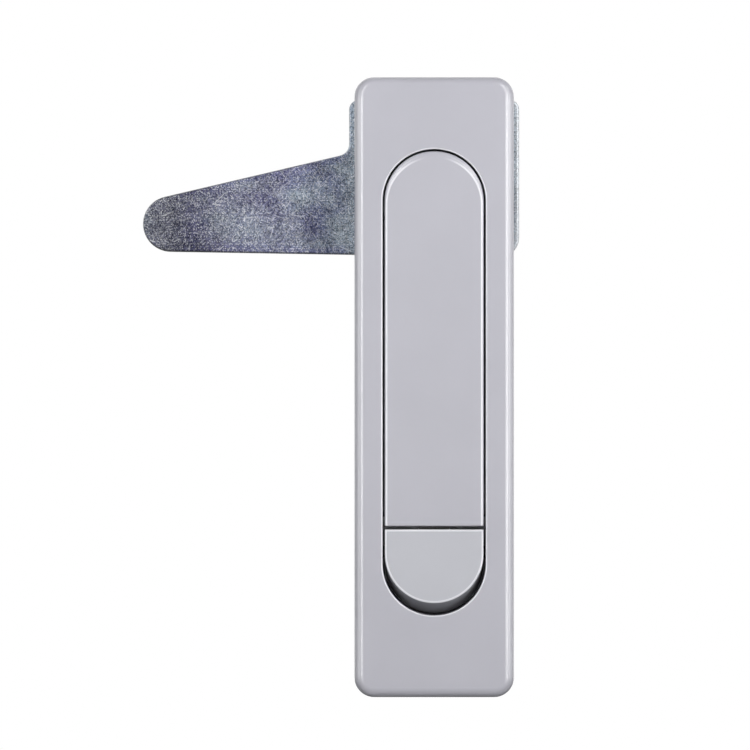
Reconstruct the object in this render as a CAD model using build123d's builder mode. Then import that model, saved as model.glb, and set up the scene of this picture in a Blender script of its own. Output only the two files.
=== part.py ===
"""Flush swing handle lock for a sheet-metal door.

Millimetres. +Z is up the door, +X is to the right as seen from the front, and the front faces -Y.
The origin is the point where the spindle axis meets the door's front face, which is also the plane of
the gasket's rear face. "Out" is a distance in front of that plane, "deep" one below the front of the
face plate, and "below" one down the door from the spindle axis.
"""

import os
from math import asin, atan2, cos, degrees, hypot, sin, sqrt

from build123d import *

# Fits
running = 0.05  # radial clearance of a turning shaft
easy = 0.15  # radial clearance of a screw in a plain hole
side_play = 0.2  # clearance beside a part that swings
end_play = 0.05  # behind a disc or a washer that turns

# Face plate
plate_side_margin = 6.02  # from the recess to the plate's edge
plate_top_margin = 15.42
plate_bottom_margin = 17.47
plate_thickness = 5.0
plate_corner = 4.2
plate_edge = 2.0
rim_round = 0.3

# Gasket
gasket_thickness = 1.5
gasket_inset = 1.2
gasket_corner = 3.0

# Recess for the handle and the button
recess_radius = 10.98
pocket_relief = 0.12  # the spindle's round pocket is bored this much wider
rim_land = 0.31  # from the face to where that bore starts, just below the rim's round
recess_depth = 9.5
button_well_depth = 13.8
button_well_lead = 1.8  # the well starts this far above the handle's free end
tray_wall = 1.87
tray_floor = 2.2

# Handle
handle_half_width = 10.55
handle_length = 69.3  # from the spindle axis to the free end
handle_edge = 0.55
handle_end_edge = 0.3
head_slope_drop = 0.9  # from the spindle axis to the centre of the head's flat
head_slope_width = 1.5  # at the top of the head
head_slope_depth = 1.0
head_slope_lift = 0.01  # so that the slope meets the flat at an angle
handle_land = 0.6  # height of the upright side above the bevelled flank
handle_skin = 2.0
handle_bar_depth = 6.5
handle_bar_top = 6.4  # below the spindle axis
groove_half_width = 2.6
groove_depth = 2.6
groove_margin = 4.2
rib_thickness = 1.4
rib_count = 3
latch_window_width = 7.4
latch_window_deep = 2.3
latch_window_height = 1.3
latch_window_reach = 2.4

# Handle hinge
pin_radius = 1.25
pin_deep = 3.75
knuckle_radius = 2.45
ear_inner = 3.0
ear_outer = 5.6
cheek_outer = 8.7
cheek_front = 1.5  # how far the cheeks reach above the spindle axis
cheek_back = 4.5  # and below it
open_clearance = 0.4  # below the handle's tail when it stands square to the door

# Spindle
disc_thickness = 2.6
journal_radius = 6.0
square_width = 8.0
square_shy = 0.3  # the square ends this much inside the cam
square_play = 0.05
web_thickness = 2.2

# Back of the body
bearing_wall = 3.2
boss_height = 2.0
boss_radius = 10.6

# Spindle seal
seal_wire = 0.75  # radius of the ring's section
seal_groove = 2.0
seal_play = 0.02  # under the ring in its groove

# Washers, cam and screw on the spindle
thrust_washer_thickness = 0.5
thrust_washer_radius = 7.1
stop_washer_thickness = 1.5
stop_washer_radius = 10.2
stop_notch_radius = 7.2
stop_pin_radius = 1.25
stop_pin_circle = 8.6
stop_pin_angle = 225.0  # seen from the front, from +X towards +Z
stop_pin_shy = 0.2
stop_play = 0.8  # degrees at each end of the turn
turn_angle = 90.0
cam_thickness = 2.5
cam_half_width = 18.5
cam_above = 22.8
cam_below = 11.55
cam_corner = 2.0
cam_foot_corner = 4.3
cam_tip_reach = 57.35  # from the spindle axis to the centre of the tip
cam_tip_below = 4.15
cam_tip_radius = 6.05
cam_root_above = 11.2
cam_root_round = 2.6
cam_washer_thickness = 1.4
cam_washer_radius = 5.6
cam_screw_radius = 3.0
cam_screw_length = 10.0
cam_screw_head = 4.0
cam_screw_across = 10.0

# Button
button_half_width = 10.5
button_length = 18.05
button_gap = 0.7  # between the handle's end and the button
button_end_gap = 0.28
button_lean = 2.4  # how far the end leans back from its foot to its face
button_skirt_deep = 7.6
button_skin = 2.0
button_wall = 1.5
button_edge = 0.3
button_pin_radius = 1.25
button_pin_drop = 5.0  # from the button's upper edge
button_pin_deep = 10.0
button_ear_radius = 2.6
button_ear_inner = 5.1
button_ear_outer = 7.6
button_spring_inset = 5.25  # from the button's end to the spring's axis
button_spring_radius = 1.65
button_spring_wire = 0.25
button_spring_turns = 9
button_peg_radius = 1.2
button_peg_height = 1.5

# Catch spring
catch_thickness = 0.6
catch_bite = 0.8  # how far the hook reaches over the handle's latch bar
catch_half_width = 3.2
catch_shoulder = 4.7
catch_gap = 0.2
catch_bend = 0.9
catch_foot_margin = 0.3  # round the screw's head and short of the spring
catch_screw_radius = 1.25
catch_screw_length = 1.5
catch_screw_head_radius = 1.9
catch_screw_head = 1.4

# Pop-up spring on the handle's hinge
popup_wire = 0.35
popup_radius = 1.8
popup_turns = 4.5
popup_pitch = 0.78
popup_play = 0.05  # between a leg and what it presses on
popup_leg_shy = 0.4  # each leg ends this short of the face beyond it

# Clamps that hold the lock in the door
door_gap = 2.5
clamp_width = 32.0
clamp_thickness = 2.5
clamp_corner = 1.5
clamp_reach = 9.4  # past the end of the tray
clamp_horn = 9.0  # along the sides of the tray's round end
clamp_tray_gap = 0.5
clamp_screw_offset = 4.4  # from the end of the tray to the screw
clamp_boss_radius = 3.7
clamp_boss_shy = 0.2  # the boss ends this far behind the door's front face
clamp_screw_radius = 2.5
clamp_screw_bite = 4.6
clamp_washer_thickness = 1.2
clamp_washer_radius = 4.4
clamp_screw_head = 3.2
clamp_screw_head_radius = 4.2
clamp_screw_head_round = 1.4
washer_split = 0.6
cross_slot_length = 4.4
cross_slot_width = 1.1
cross_slot_depth = 1.6

# The door's cut-out
cutout_play = 0.35

# Places worked out from the sizes above
face_out = gasket_thickness + plate_thickness
button_top = handle_length + button_gap
button_end = button_top + button_length
recess_straight = button_end + button_end_gap - recess_radius  # from the spindle axis to the lower end's centre
plate_width = 2 * (recess_radius + plate_side_margin)
plate_above = recess_radius + plate_top_margin
plate_below = recess_straight + recess_radius + plate_bottom_margin
button_well_top = handle_length - button_well_lead
button_pin_below = button_top + button_pin_drop
button_spring_below = button_end - button_spring_inset
catch_foot_end = button_spring_below - button_spring_radius - button_spring_wire - catch_foot_margin
catch_screw_below = catch_foot_end - catch_screw_head_radius - catch_foot_margin
pin_out = face_out - pin_deep
plate_middle = (plate_above - plate_below) / 2
plate_length = plate_above + plate_below
tray_radius = recess_radius + tray_wall
tray_end = recess_straight + tray_radius
disc_deep = pin_deep + handle_half_width + open_clearance
disc_radius = recess_radius + pocket_relief - side_play - side_play
housing_deep = disc_deep + disc_thickness + end_play
body_back = housing_deep - face_out + bearing_wall  # behind the door plane
boss_back = body_back + boss_height
stop_washer_front = boss_back + thrust_washer_thickness
cam_front = stop_washer_front + stop_washer_thickness
cam_back = cam_front + cam_thickness
square_end = cam_back - square_shy
cam_washer_back = cam_back + cam_washer_thickness
handle_bar_half = handle_half_width - (handle_bar_depth - handle_land)
ear_gap = ear_outer + side_play
button_out = face_out - button_pin_deep
clamp_back = door_gap + clamp_thickness
clamp_length = clamp_reach + clamp_horn
clamp_washer_back = clamp_back + clamp_washer_thickness
cutout_width = 2 * (tray_radius + cutout_play)
upper_screw = tray_radius + clamp_screw_offset
lower_screw = -tray_end - clamp_screw_offset
cutout_length = upper_screw - lower_screw + 2 * (clamp_boss_radius + cutout_play)
cutout_middle = (upper_screw + lower_screw) / 2
disc_back = disc_deep + disc_thickness - face_out
seal_radius = journal_radius - seal_wire
seal_middle = (disc_back + boss_back) / 2
popup_back_deep = pin_deep + popup_radius
web_out = face_out - popup_back_deep - popup_wire - popup_play
popup_bay_deep = pin_deep - popup_radius - popup_wire - popup_play
pocket_radius = knuckle_radius + side_play
pocket_half = cheek_outer + side_play
eye_skin = pin_deep - pocket_radius  # left in front of the pocket
handle_skin_half = handle_half_width - (handle_skin - handle_land)
head_flat = handle_half_width - handle_edge
button_centre = button_end - button_half_width
catch_slot_half = catch_half_width + side_play
catch_stem = button_top + button_wall + catch_gap
catch_deep = latch_window_deep + latch_window_height - catch_thickness - catch_gap / 2
beyond = (4 * tray_radius, 2 * recess_straight)  # a cutting rectangle that reaches past the tray


def layer(out):
    """The plane at a distance in front of the door, facing forwards, with X to the right and Z up."""
    return Plane.XZ.offset(out)


def deep(depth):
    """The plane at a depth below the front of the face plate, facing forwards."""
    return layer(face_out - depth)


def behind(distance):
    """The plane at a distance behind the door's front face, facing backwards, with X to the left."""
    return Plane((0, distance, 0), x_dir=(-1, 0, 0), z_dir=(0, 1, 0))


def across(x):
    """The plane at x with X forwards and Z up, facing left."""
    return Plane(origin=(x, 0, 0), x_dir=(0, -1, 0), z_dir=(-1, 0, 0))


def below(distance):
    """The level plane at a distance below the spindle axis, X to the right and Y forwards, facing down."""
    return Plane(origin=(0, 0, -distance), x_dir=(1, 0, 0), z_dir=(0, 0, -1))


def outline(radius, length):
    """A slot outline: a round end about the spindle axis, and one a length below it."""
    with Locations((0, -length / 2)):
        SlotCenterToCenter(length, 2 * radius, rotation=90)


os.makedirs("parts", exist_ok=True)

# Body: the face plate and the tray behind it, one casting
with BuildPart() as lock_body:
    with BuildSketch(layer(gasket_thickness)):
        with Locations((0, plate_middle)):
            RectangleRounded(plate_width, plate_length, plate_corner)
    extrude(amount=plate_thickness)
    fillet(lock_body.faces().sort_by(Axis.Y)[0].edges(), plate_edge)
    # the tray behind the plate, deeper at the spindle and at the button
    with BuildSketch(layer(gasket_thickness)):
        outline(tray_radius, recess_straight)
    extrude(amount=-(recess_depth + tray_floor - plate_thickness))
    with BuildSketch(layer(gasket_thickness)):
        Circle(tray_radius)
    extrude(amount=-(body_back + gasket_thickness))
    with BuildSketch(layer(gasket_thickness)):
        outline(tray_radius, recess_straight)
        with Locations((0, -button_well_top + tray_wall)):
            Rectangle(*beyond, align=(Align.CENTER, Align.MIN), mode=Mode.SUBTRACT)
    extrude(amount=-(button_well_depth + tray_floor - plate_thickness))
    with BuildSketch(behind(body_back)):
        Circle(boss_radius)
    extrude(amount=boss_height)
    # bosses for the clamp screws
    with BuildSketch(layer(gasket_thickness)):
        with Locations((0, upper_screw), (0, lower_screw)):
            Circle(clamp_boss_radius)
    extrude(amount=-(gasket_thickness + clamp_boss_shy))
    with BuildSketch(layer(gasket_thickness)):
        for height, edge in ((upper_screw, Align.MAX), (lower_screw, Align.MIN)):
            with Locations((0, height)):
                Rectangle(clamp_boss_radius, clamp_screw_offset + tray_wall / 2, align=(Align.CENTER, edge))
    extrude(amount=-(gasket_thickness + clamp_boss_shy))
    # the recess, the spindle's round pocket and the button's well
    with BuildSketch(layer(face_out)):
        outline(recess_radius, recess_straight)
    extrude(amount=-recess_depth, mode=Mode.SUBTRACT)
    with BuildSketch(layer(face_out - rim_land)):
        Circle(recess_radius + pocket_relief)
    extrude(amount=-(housing_deep - rim_land), mode=Mode.SUBTRACT)
    with BuildSketch(layer(face_out)):
        outline(recess_radius, recess_straight)
        with Locations((0, -button_well_top)):
            Rectangle(*beyond, align=(Align.CENTER, Align.MIN), mode=Mode.SUBTRACT)
    extrude(amount=-button_well_depth, mode=Mode.SUBTRACT)
    rim = lock_body.faces().sort_by(Axis.Y)[0].inner_wires()
    fillet(rim[0].edges(), rim_round)
    # the spindle's bearing, and the hole of the stop pin
    with BuildSketch(behind(boss_back)):
        Circle(journal_radius + running)
    extrude(amount=-(bearing_wall + boss_height), mode=Mode.SUBTRACT)
    with BuildSketch(layer(-boss_back)):
        with PolarLocations(stop_pin_circle, 1, stop_pin_angle):
            Circle(stop_pin_radius)
    extrude(amount=bearing_wall, mode=Mode.SUBTRACT)
    # holes for the clamp screws, the catch screw and the button's pin
    with BuildSketch(behind(clamp_boss_shy)):
        with Locations((0, upper_screw), (0, lower_screw)):
            Circle(clamp_screw_radius + running)
    extrude(amount=-(clamp_screw_bite + running), mode=Mode.SUBTRACT)
    with BuildSketch(deep(button_well_depth)):
        with Locations((0, -catch_screw_below)):
            Circle(catch_screw_radius + running)
    extrude(amount=-(catch_screw_length + running), mode=Mode.SUBTRACT)
    with BuildSketch(across(0)):
        with Locations((button_out, -button_pin_below)):
            Circle(button_pin_radius + running)
    extrude(amount=tray_radius, both=True, mode=Mode.SUBTRACT)
    # the peg that centres the button's spring
    with BuildSketch(deep(button_well_depth)):
        with Locations((0, -button_spring_below)):
            Circle(button_peg_radius)
    extrude(amount=button_peg_height)
lock_body.part.label = "lock_body"
export_step(lock_body.part, "parts/lock_body.step")

# Gasket between the face plate and the door
with BuildPart() as gasket:
    with BuildSketch(layer(0)):
        with Locations((0, plate_middle)):
            RectangleRounded(plate_width - 2 * gasket_inset, plate_length - 2 * gasket_inset, gasket_corner)
        with Locations((0, cutout_middle)):
            RectangleRounded(cutout_width, cutout_length, gasket_corner, mode=Mode.SUBTRACT)
    extrude(amount=gasket_thickness)
gasket.part.label = "gasket"
export_step(gasket.part, "parts/gasket.step")

# Clamp plates pulled against the back of the door, each with its screw and split spring washer
for name, end, way in (("upper", 0, 1), ("lower", -recess_straight, -1)):
    screw_height = end + way * (tray_radius + clamp_screw_offset)
    with BuildPart() as clamp:
        with BuildSketch(behind(door_gap)):
            with Locations((0, end + way * (tray_radius + clamp_reach - clamp_length / 2))):
                RectangleRounded(clamp_width, clamp_length, clamp_corner)
            with Locations((0, end)):
                Circle(tray_radius + clamp_tray_gap, mode=Mode.SUBTRACT)
            with Locations((0, screw_height)):
                Circle(clamp_screw_radius + easy, mode=Mode.SUBTRACT)
        extrude(amount=clamp_thickness)
    clamp.part.label = f"{name}_clamp"
    export_step(clamp.part, f"parts/{name}_clamp.step")

    with BuildPart() as clamp_washer:
        with BuildSketch(behind(clamp_back)):
            with Locations((0, screw_height)):
                Circle(clamp_washer_radius)
                Circle(clamp_screw_radius + easy, mode=Mode.SUBTRACT)
            with Locations((clamp_washer_radius, screw_height)):
                Rectangle(2 * clamp_screw_radius, washer_split, mode=Mode.SUBTRACT)
        extrude(amount=clamp_washer_thickness)
    clamp_washer.part.label = f"{name}_clamp_washer"
    export_step(clamp_washer.part, f"parts/{name}_clamp_washer.step")

    with BuildPart() as clamp_screw:
        with BuildSketch(behind(clamp_washer_back)):
            with Locations((0, screw_height)):
                Circle(clamp_screw_head_radius)
        extrude(amount=clamp_screw_head)
        fillet(clamp_screw.faces().sort_by(Axis.Y)[-1].edges(), clamp_screw_head_round)
        with BuildSketch(behind(clamp_washer_back)):
            with Locations((0, screw_height)):
                Circle(clamp_screw_radius)
        extrude(amount=-(clamp_washer_back - clamp_boss_shy + clamp_screw_bite))
        with BuildSketch(behind(clamp_washer_back + clamp_screw_head)):
            with Locations((0, screw_height)):
                Rectangle(cross_slot_length, cross_slot_width)
                Rectangle(cross_slot_width, cross_slot_length)
        extrude(amount=-cross_slot_depth, mode=Mode.SUBTRACT)
    clamp_screw.part.label = f"{name}_clamp_screw"
    export_step(clamp_screw.part, f"parts/{name}_clamp_screw.step")

# Pin in the back of the body that limits the turn
with BuildPart() as stop_pin:
    with BuildSketch(behind(boss_back - bearing_wall)):
        with PolarLocations(stop_pin_circle, 1, 180 - stop_pin_angle):
            Circle(stop_pin_radius)
    extrude(amount=bearing_wall + cam_front - boss_back - stop_pin_shy)
stop_pin.part.label = "stop_pin"
export_step(stop_pin.part, "parts/stop_pin.step")

# Spindle: disc, fork for the handle's hinge, journal and square, one casting
with BuildPart() as spindle:
    with BuildSketch(deep(disc_deep)):
        Circle(disc_radius)
    extrude(amount=-disc_thickness)
    # the fork's cheeks, with an eye for the hinge pin at the front
    for left_face in (-ear_gap, cheek_outer):
        with BuildSketch(across(left_face)):
            with Locations((pin_out, 0)):
                Circle(knuckle_radius)
            with Locations((pin_out, -cheek_back)):
                Rectangle(disc_deep - pin_deep, cheek_back + cheek_front, align=(Align.MAX, Align.MIN))
        extrude(amount=cheek_outer - ear_gap)
    # the web that the pop-up spring's back leg presses on
    with BuildSketch(across(0)):
        with Locations((web_out, -cheek_back)):
            Rectangle(disc_deep - face_out + web_out, web_thickness, align=(Align.MAX, Align.MIN))
    extrude(amount=ear_gap, both=True)
    with BuildSketch(across(0)):
        with Locations((pin_out, 0)):
            Circle(pin_radius + running)
    extrude(amount=cheek_outer, both=True, mode=Mode.SUBTRACT)
    # journal with the seal's groove, square and tapped hole
    with BuildSketch(behind(disc_back)):
        Circle(journal_radius)
    extrude(amount=stop_washer_front - disc_back)
    with BuildSketch(behind(seal_middle - seal_groove / 2)):
        Circle(journal_radius)
        Circle(seal_radius - seal_wire - seal_play, mode=Mode.SUBTRACT)
    extrude(amount=seal_groove, mode=Mode.SUBTRACT)
    with BuildSketch(behind(stop_washer_front)):
        Rectangle(square_width, square_width)
    extrude(amount=square_end - stop_washer_front)
    with BuildSketch(behind(square_end)):
        Circle(cam_screw_radius + running)
    extrude(amount=-(cam_screw_length - cam_washer_back + square_end + running), mode=Mode.SUBTRACT)
spindle.part.label = "spindle"
export_step(spindle.part, "parts/spindle.step")

with BuildPart() as spindle_seal:
    with BuildSketch(Plane.YZ):
        with Locations((seal_middle, seal_radius)):
            Circle(seal_wire)
    revolve(axis=Axis.Y)
spindle_seal.part.label = "spindle_seal"
export_step(spindle_seal.part, "parts/spindle_seal.step")

with BuildPart() as hinge_pin:
    with BuildSketch(across(0)):
        with Locations((pin_out, 0)):
            Circle(pin_radius)
    extrude(amount=cheek_outer, both=True)
hinge_pin.part.label = "hinge_pin"
export_step(hinge_pin.part, "parts/hinge_pin.step")

# Pop-up spring: a coil round the hinge pin, one leg on the handle's back and one on the fork's web
with BuildPart() as popup_coil:
    popup_half = popup_pitch * popup_turns / 2
    with BuildLine():
        popup_path = Helix(
            popup_pitch, 2 * popup_half, popup_radius, center=(popup_half, 0, 0), direction=(-1, 0, 0)
        )
    with BuildSketch(Plane(origin=popup_path @ 0, z_dir=popup_path % 0)):
        Circle(popup_wire)
    sweep(is_frenet=True)

with BuildPart() as handle_spring:
    with Locations(Location((0, -pin_out, 0), (-90, 0, 0))):
        add(popup_coil.part)
    for x, out, leg in (
        (popup_half, pin_out + popup_radius, handle_bar_top - popup_leg_shy),
        (-popup_half, pin_out - popup_radius, cheek_back - popup_leg_shy),
    ):
        with BuildSketch(below(0)):
            with Locations((x, out)):
                Circle(popup_wire)
        extrude(amount=leg)
        with Locations((x, -out, 0)):
            Sphere(popup_wire)
handle_spring.part.label = "handle_spring"
export_step(handle_spring.part, "parts/handle_spring.step")

# Washers between the body and the cam
with BuildPart() as thrust_washer:
    with BuildSketch(behind(boss_back)):
        Circle(thrust_washer_radius)
        Circle(journal_radius + easy, mode=Mode.SUBTRACT)
    extrude(amount=thrust_washer_thickness)
thrust_washer.part.label = "thrust_washer"
export_step(thrust_washer.part, "parts/thrust_washer.step")

notch_half = turn_angle / 2 + degrees(asin(stop_pin_radius / stop_pin_circle)) + stop_play
with BuildPart() as stop_washer:
    with BuildSketch(layer(-stop_washer_front)):
        Circle(stop_washer_radius)
        Rectangle(square_width + square_play, square_width + square_play, mode=Mode.SUBTRACT)
        with BuildLine():
            notch_start = stop_pin_angle - turn_angle / 2 - notch_half
            inner_arc = CenterArc((0, 0), stop_notch_radius, notch_start, 2 * notch_half)
            outer_arc = CenterArc((0, 0), 2 * stop_washer_radius, notch_start, 2 * notch_half)
            Line(inner_arc @ 0, outer_arc @ 0)
            Line(inner_arc @ 1, outer_arc @ 1)
        make_face(mode=Mode.SUBTRACT)
    extrude(amount=-stop_washer_thickness)
stop_washer.part.label = "stop_washer"
export_step(stop_washer.part, "parts/stop_washer.step")


def arm_touch(x, height, way):
    """Where a line from a point touches the round tip of the cam's arm, on its upper side if way is 1."""
    run, fall = -cam_tip_reach - x, -cam_tip_below - height
    heading = atan2(fall, run) - way * asin(cam_tip_radius / hypot(run, fall))
    length = sqrt(run**2 + fall**2 - cam_tip_radius**2)
    return x + length * cos(heading), height + length * sin(heading)


# Cam: a flat plate with a broad head over the square and an arm to the left
with BuildPart() as cam:
    with BuildSketch(layer(-cam_front)):
        with BuildLine():
            upper_touch = arm_touch(-cam_half_width, cam_root_above, 1)
            lower_touch = arm_touch(cam_half_width, -cam_below, -1)
            Polyline(
                upper_touch,
                (-cam_half_width, cam_root_above),
                (-cam_half_width, cam_above),
                (cam_half_width, cam_above),
                (cam_half_width, -cam_below),
                lower_touch,
            )
            ThreePointArc(upper_touch, (-cam_tip_reach - cam_tip_radius, -cam_tip_below), lower_touch)
        make_face()
        fillet(vertices().sort_by(Axis.Y)[-2:], cam_corner)
        fillet(vertices().sort_by_distance((cam_half_width, -cam_below))[0], cam_foot_corner)
        fillet(vertices().sort_by_distance((-cam_half_width, cam_root_above))[0], cam_root_round)
        Rectangle(square_width + square_play, square_width + square_play, mode=Mode.SUBTRACT)
    extrude(amount=-cam_thickness)
cam.part.label = "cam"
export_step(cam.part, "parts/cam.step")

with BuildPart() as cam_washer:
    with BuildSketch(behind(cam_back)):
        Circle(cam_washer_radius)
        Circle(cam_screw_radius + easy, mode=Mode.SUBTRACT)
        with Locations((cam_washer_radius, 0)):
            Rectangle(2 * cam_screw_radius, washer_split, mode=Mode.SUBTRACT)
    extrude(amount=cam_washer_thickness)
cam_washer.part.label = "cam_washer"
export_step(cam_washer.part, "parts/cam_washer.step")

with BuildPart() as cam_screw:
    with BuildSketch(behind(cam_washer_back)):
        RegularPolygon(cam_screw_across / 2, 6, major_radius=False)
    extrude(amount=cam_screw_head)
    with BuildSketch(behind(cam_washer_back)):
        Circle(cam_screw_radius)
    extrude(amount=-cam_screw_length)
cam_screw.part.label = "cam_screw"
export_step(cam_screw.part, "parts/cam_screw.step")


def handle_section(depth, half_width):
    """Corners of the handle's section down to a depth: upright edges, then flanks in to a half-width."""
    right = [
        (handle_half_width, face_out),
        (handle_half_width, face_out - handle_land),
        (half_width, face_out - depth),
    ]
    return right + [(-x, out) for x, out in reversed(right)]


# Handle: a thin round head over the hinge, then a bar with bevelled flanks, hollowed and ribbed behind
with BuildPart() as handle:
    with BuildSketch(below(-handle_half_width)):
        Polygon(*handle_section(handle_skin, handle_skin_half), align=None)
    extrude(amount=handle_half_width + handle_length)
    with BuildSketch(layer(face_out)):
        Rectangle(*beyond, align=(Align.CENTER, Align.MIN))
        Circle(handle_half_width, mode=Mode.SUBTRACT)
    extrude(amount=-handle_skin, mode=Mode.SUBTRACT)
    with BuildSketch(below(handle_bar_top)):
        Polygon(*handle_section(handle_bar_depth, handle_bar_half), align=None)
    extrude(amount=handle_length - handle_bar_top)
    face_edges = handle.faces().sort_by(Axis.Y)[0].edges()
    fillet(face_edges.sort_by(Axis.Z)[1:], handle_edge)
    end_face = handle.faces().sort_by(Axis.Z)[0]
    fillet(end_face.edges().sort_by(Axis.Y)[0], handle_end_edge)
    # the head slopes back at the top, over an arc about a centre below the spindle's axis
    with BuildSketch(Plane.XY.offset(-head_slope_drop)):
        with BuildLine():
            slope = EllipticalCenterArc(
                (head_flat, head_slope_depth - head_slope_lift - face_out),
                head_slope_width,
                head_slope_depth,
                start_angle=-90,
                arc_size=90,
            )
            Polyline(slope @ 0, (head_flat, -beyond[0]), (beyond[0], -beyond[0]), (beyond[0], (slope @ 1).Y), slope @ 1)
        make_face()
    revolve(axis=Axis((0, 0, -head_slope_drop), (0, -1, 0)), revolution_arc=180, mode=Mode.SUBTRACT)
    # pocket over the fork, bay for the pop-up spring's front leg
    with BuildSketch(across(0)):
        with Locations((pin_out, 0)):
            Circle(pocket_radius)
    extrude(amount=pocket_half, both=True, mode=Mode.SUBTRACT)
    with BuildSketch(deep(handle_skin)):
        Rectangle(2 * groove_half_width, handle_bar_top, align=(Align.CENTER, Align.MAX))
    extrude(amount=handle_skin - popup_bay_deep, mode=Mode.SUBTRACT)
    # ears on the hinge pin
    for left_face in (-ear_inner, ear_outer):
        with BuildSketch(across(left_face)):
            with Locations((pin_out, 0)):
                Circle(knuckle_radius)
                Rectangle(pin_deep - eye_skin / 2, 2 * knuckle_radius, align=(Align.MIN, Align.CENTER))
        extrude(amount=ear_outer - ear_inner)
    with BuildSketch(across(0)):
        with Locations((pin_out, 0)):
            Circle(pin_radius + running)
    extrude(amount=ear_outer, both=True, mode=Mode.SUBTRACT)
    # ribbed hollow behind the bar
    hollow = handle_length - handle_bar_top - 2 * groove_margin
    bay = (hollow - rib_count * rib_thickness) / (rib_count + 1)
    with BuildSketch(deep(handle_bar_depth)):
        with Locations((0, -(handle_length + handle_bar_top) / 2)):
            with GridLocations(0, bay + rib_thickness, 1, rib_count + 1):
                Rectangle(2 * groove_half_width, bay)
    extrude(amount=groove_depth, mode=Mode.SUBTRACT)
    # window for the catch in the free end
    with BuildSketch(below(handle_length)):
        with Locations((0, face_out - latch_window_deep)):
            Rectangle(latch_window_width, latch_window_height, align=(Align.CENTER, Align.MAX))
    extrude(amount=-latch_window_reach, mode=Mode.SUBTRACT)
handle.part.label = "handle"
export_step(handle.part, "parts/handle.step")


def button_core(inset, front):
    """The button's leaning half slot drawn in by an inset, from its skirt's edge to a depth."""
    rise = button_skirt_deep - front
    lean = button_lean * rise / button_skirt_deep
    with BuildPart() as core:
        with BuildSketch(deep(button_skirt_deep)):
            with Locations((0, -button_centre)):
                Circle(button_half_width - inset)
                Rectangle(2 * (button_half_width - inset), button_centre, align=(Align.CENTER, Align.MIN))
        extrude(amount=hypot(rise, lean), dir=(0, -rise, lean))
        with BuildSketch(deep(button_skirt_deep)):
            with Locations((0, -button_top - inset)):
                Rectangle(4 * button_half_width, 2 * button_centre, align=(Align.CENTER, Align.MIN))
        extrude(amount=rise, mode=Mode.SUBTRACT)
    return core.part


# Button: a half slot whose round end leans back, hollow behind, with two lugs on its pin
with BuildPart() as button:
    add(button_core(0, 0))
    fillet(button.faces().sort_by(Axis.Y)[0].edges(), button_edge)
    add(button_core(button_wall, button_skin), mode=Mode.SUBTRACT)
    # slot for the catch's hook
    with BuildSketch(deep(button_skirt_deep)):
        with Locations((0, -button_top)):
            Rectangle(2 * catch_slot_half, 2 * button_wall, align=(Align.CENTER, Align.MAX))
    extrude(amount=button_skirt_deep - button_skin, mode=Mode.SUBTRACT)
    # lugs on the pin
    for left_face in (-button_ear_inner, button_ear_outer):
        with BuildSketch(across(left_face)):
            with Locations((button_out, -button_pin_below)):
                Circle(button_ear_radius)
                lug_reach = button_pin_deep - button_skin / 2
                Rectangle(lug_reach, 2 * button_ear_radius, align=(Align.MIN, Align.CENTER))
        extrude(amount=button_ear_outer - button_ear_inner)
    with BuildSketch(across(0)):
        with Locations((button_out, -button_pin_below)):
            Circle(button_pin_radius + running)
    extrude(amount=button_ear_outer, both=True, mode=Mode.SUBTRACT)
    # peg inside the spring
    with BuildSketch(deep(button_skin)):
        with Locations((0, -button_spring_below)):
            Circle(button_peg_radius)
    extrude(amount=-button_peg_height)
button.part.label = "button"
export_step(button.part, "parts/button.step")

with BuildPart() as button_pin:
    with BuildSketch(across(0)):
        with Locations((button_out, -button_pin_below)):
            Circle(button_pin_radius)
    extrude(amount=tray_radius, both=True)
button_pin.part.label = "button_pin"
export_step(button_pin.part, "parts/button_pin.step")

# Compression spring between the well's floor and the back of the button
with BuildPart() as button_spring:
    with BuildLine():
        spring_height = button_well_depth - button_skin - 2 * (button_spring_wire + running)
        spring_path = Helix(
            spring_height / button_spring_turns,
            spring_height,
            button_spring_radius,
            center=(0, button_well_depth - button_spring_wire - running - face_out, -button_spring_below),
            direction=(0, -1, 0),
        )
    with BuildSketch(Plane(origin=spring_path @ 0, z_dir=spring_path % 0)):
        Circle(button_spring_wire)
    sweep(is_frenet=True)
button_spring.part.label = "button_spring"
export_step(button_spring.part, "parts/button_spring.step")

# Catch: a spring-steel leaf, its foot on the floor of the well and its hook in the handle's window
with BuildPart() as catch_spring:
    with BuildSketch(across(0)):
        with BuildLine():
            FilletPolyline(
                (face_out - button_well_depth, -catch_foot_end),
                (face_out - button_well_depth, -catch_stem - catch_thickness),
                (face_out - catch_deep - catch_thickness, -catch_stem - catch_thickness),
                (face_out - catch_deep - catch_thickness, catch_bite - handle_length),
                radius=catch_bend,
            )
            offset(amount=catch_thickness, side=Side.RIGHT)
        make_face()
    extrude(amount=catch_shoulder, both=True)
    hook_width = catch_shoulder - catch_half_width
    for side in (-1, 1):
        with BuildSketch(deep(catch_deep + catch_thickness + catch_bend)):
            with Locations((side * (catch_half_width + hook_width), -catch_stem)):
                Rectangle(2 * hook_width, handle_length, align=(Align.CENTER, Align.CENTER))
        extrude(amount=button_skirt_deep, mode=Mode.SUBTRACT)
    with BuildSketch(deep(button_well_depth)):
        with Locations((0, -catch_screw_below)):
            Circle(catch_screw_radius + easy)
    extrude(amount=catch_thickness, mode=Mode.SUBTRACT)
catch_spring.part.label = "catch_spring"
export_step(catch_spring.part, "parts/catch_spring.step")

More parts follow.
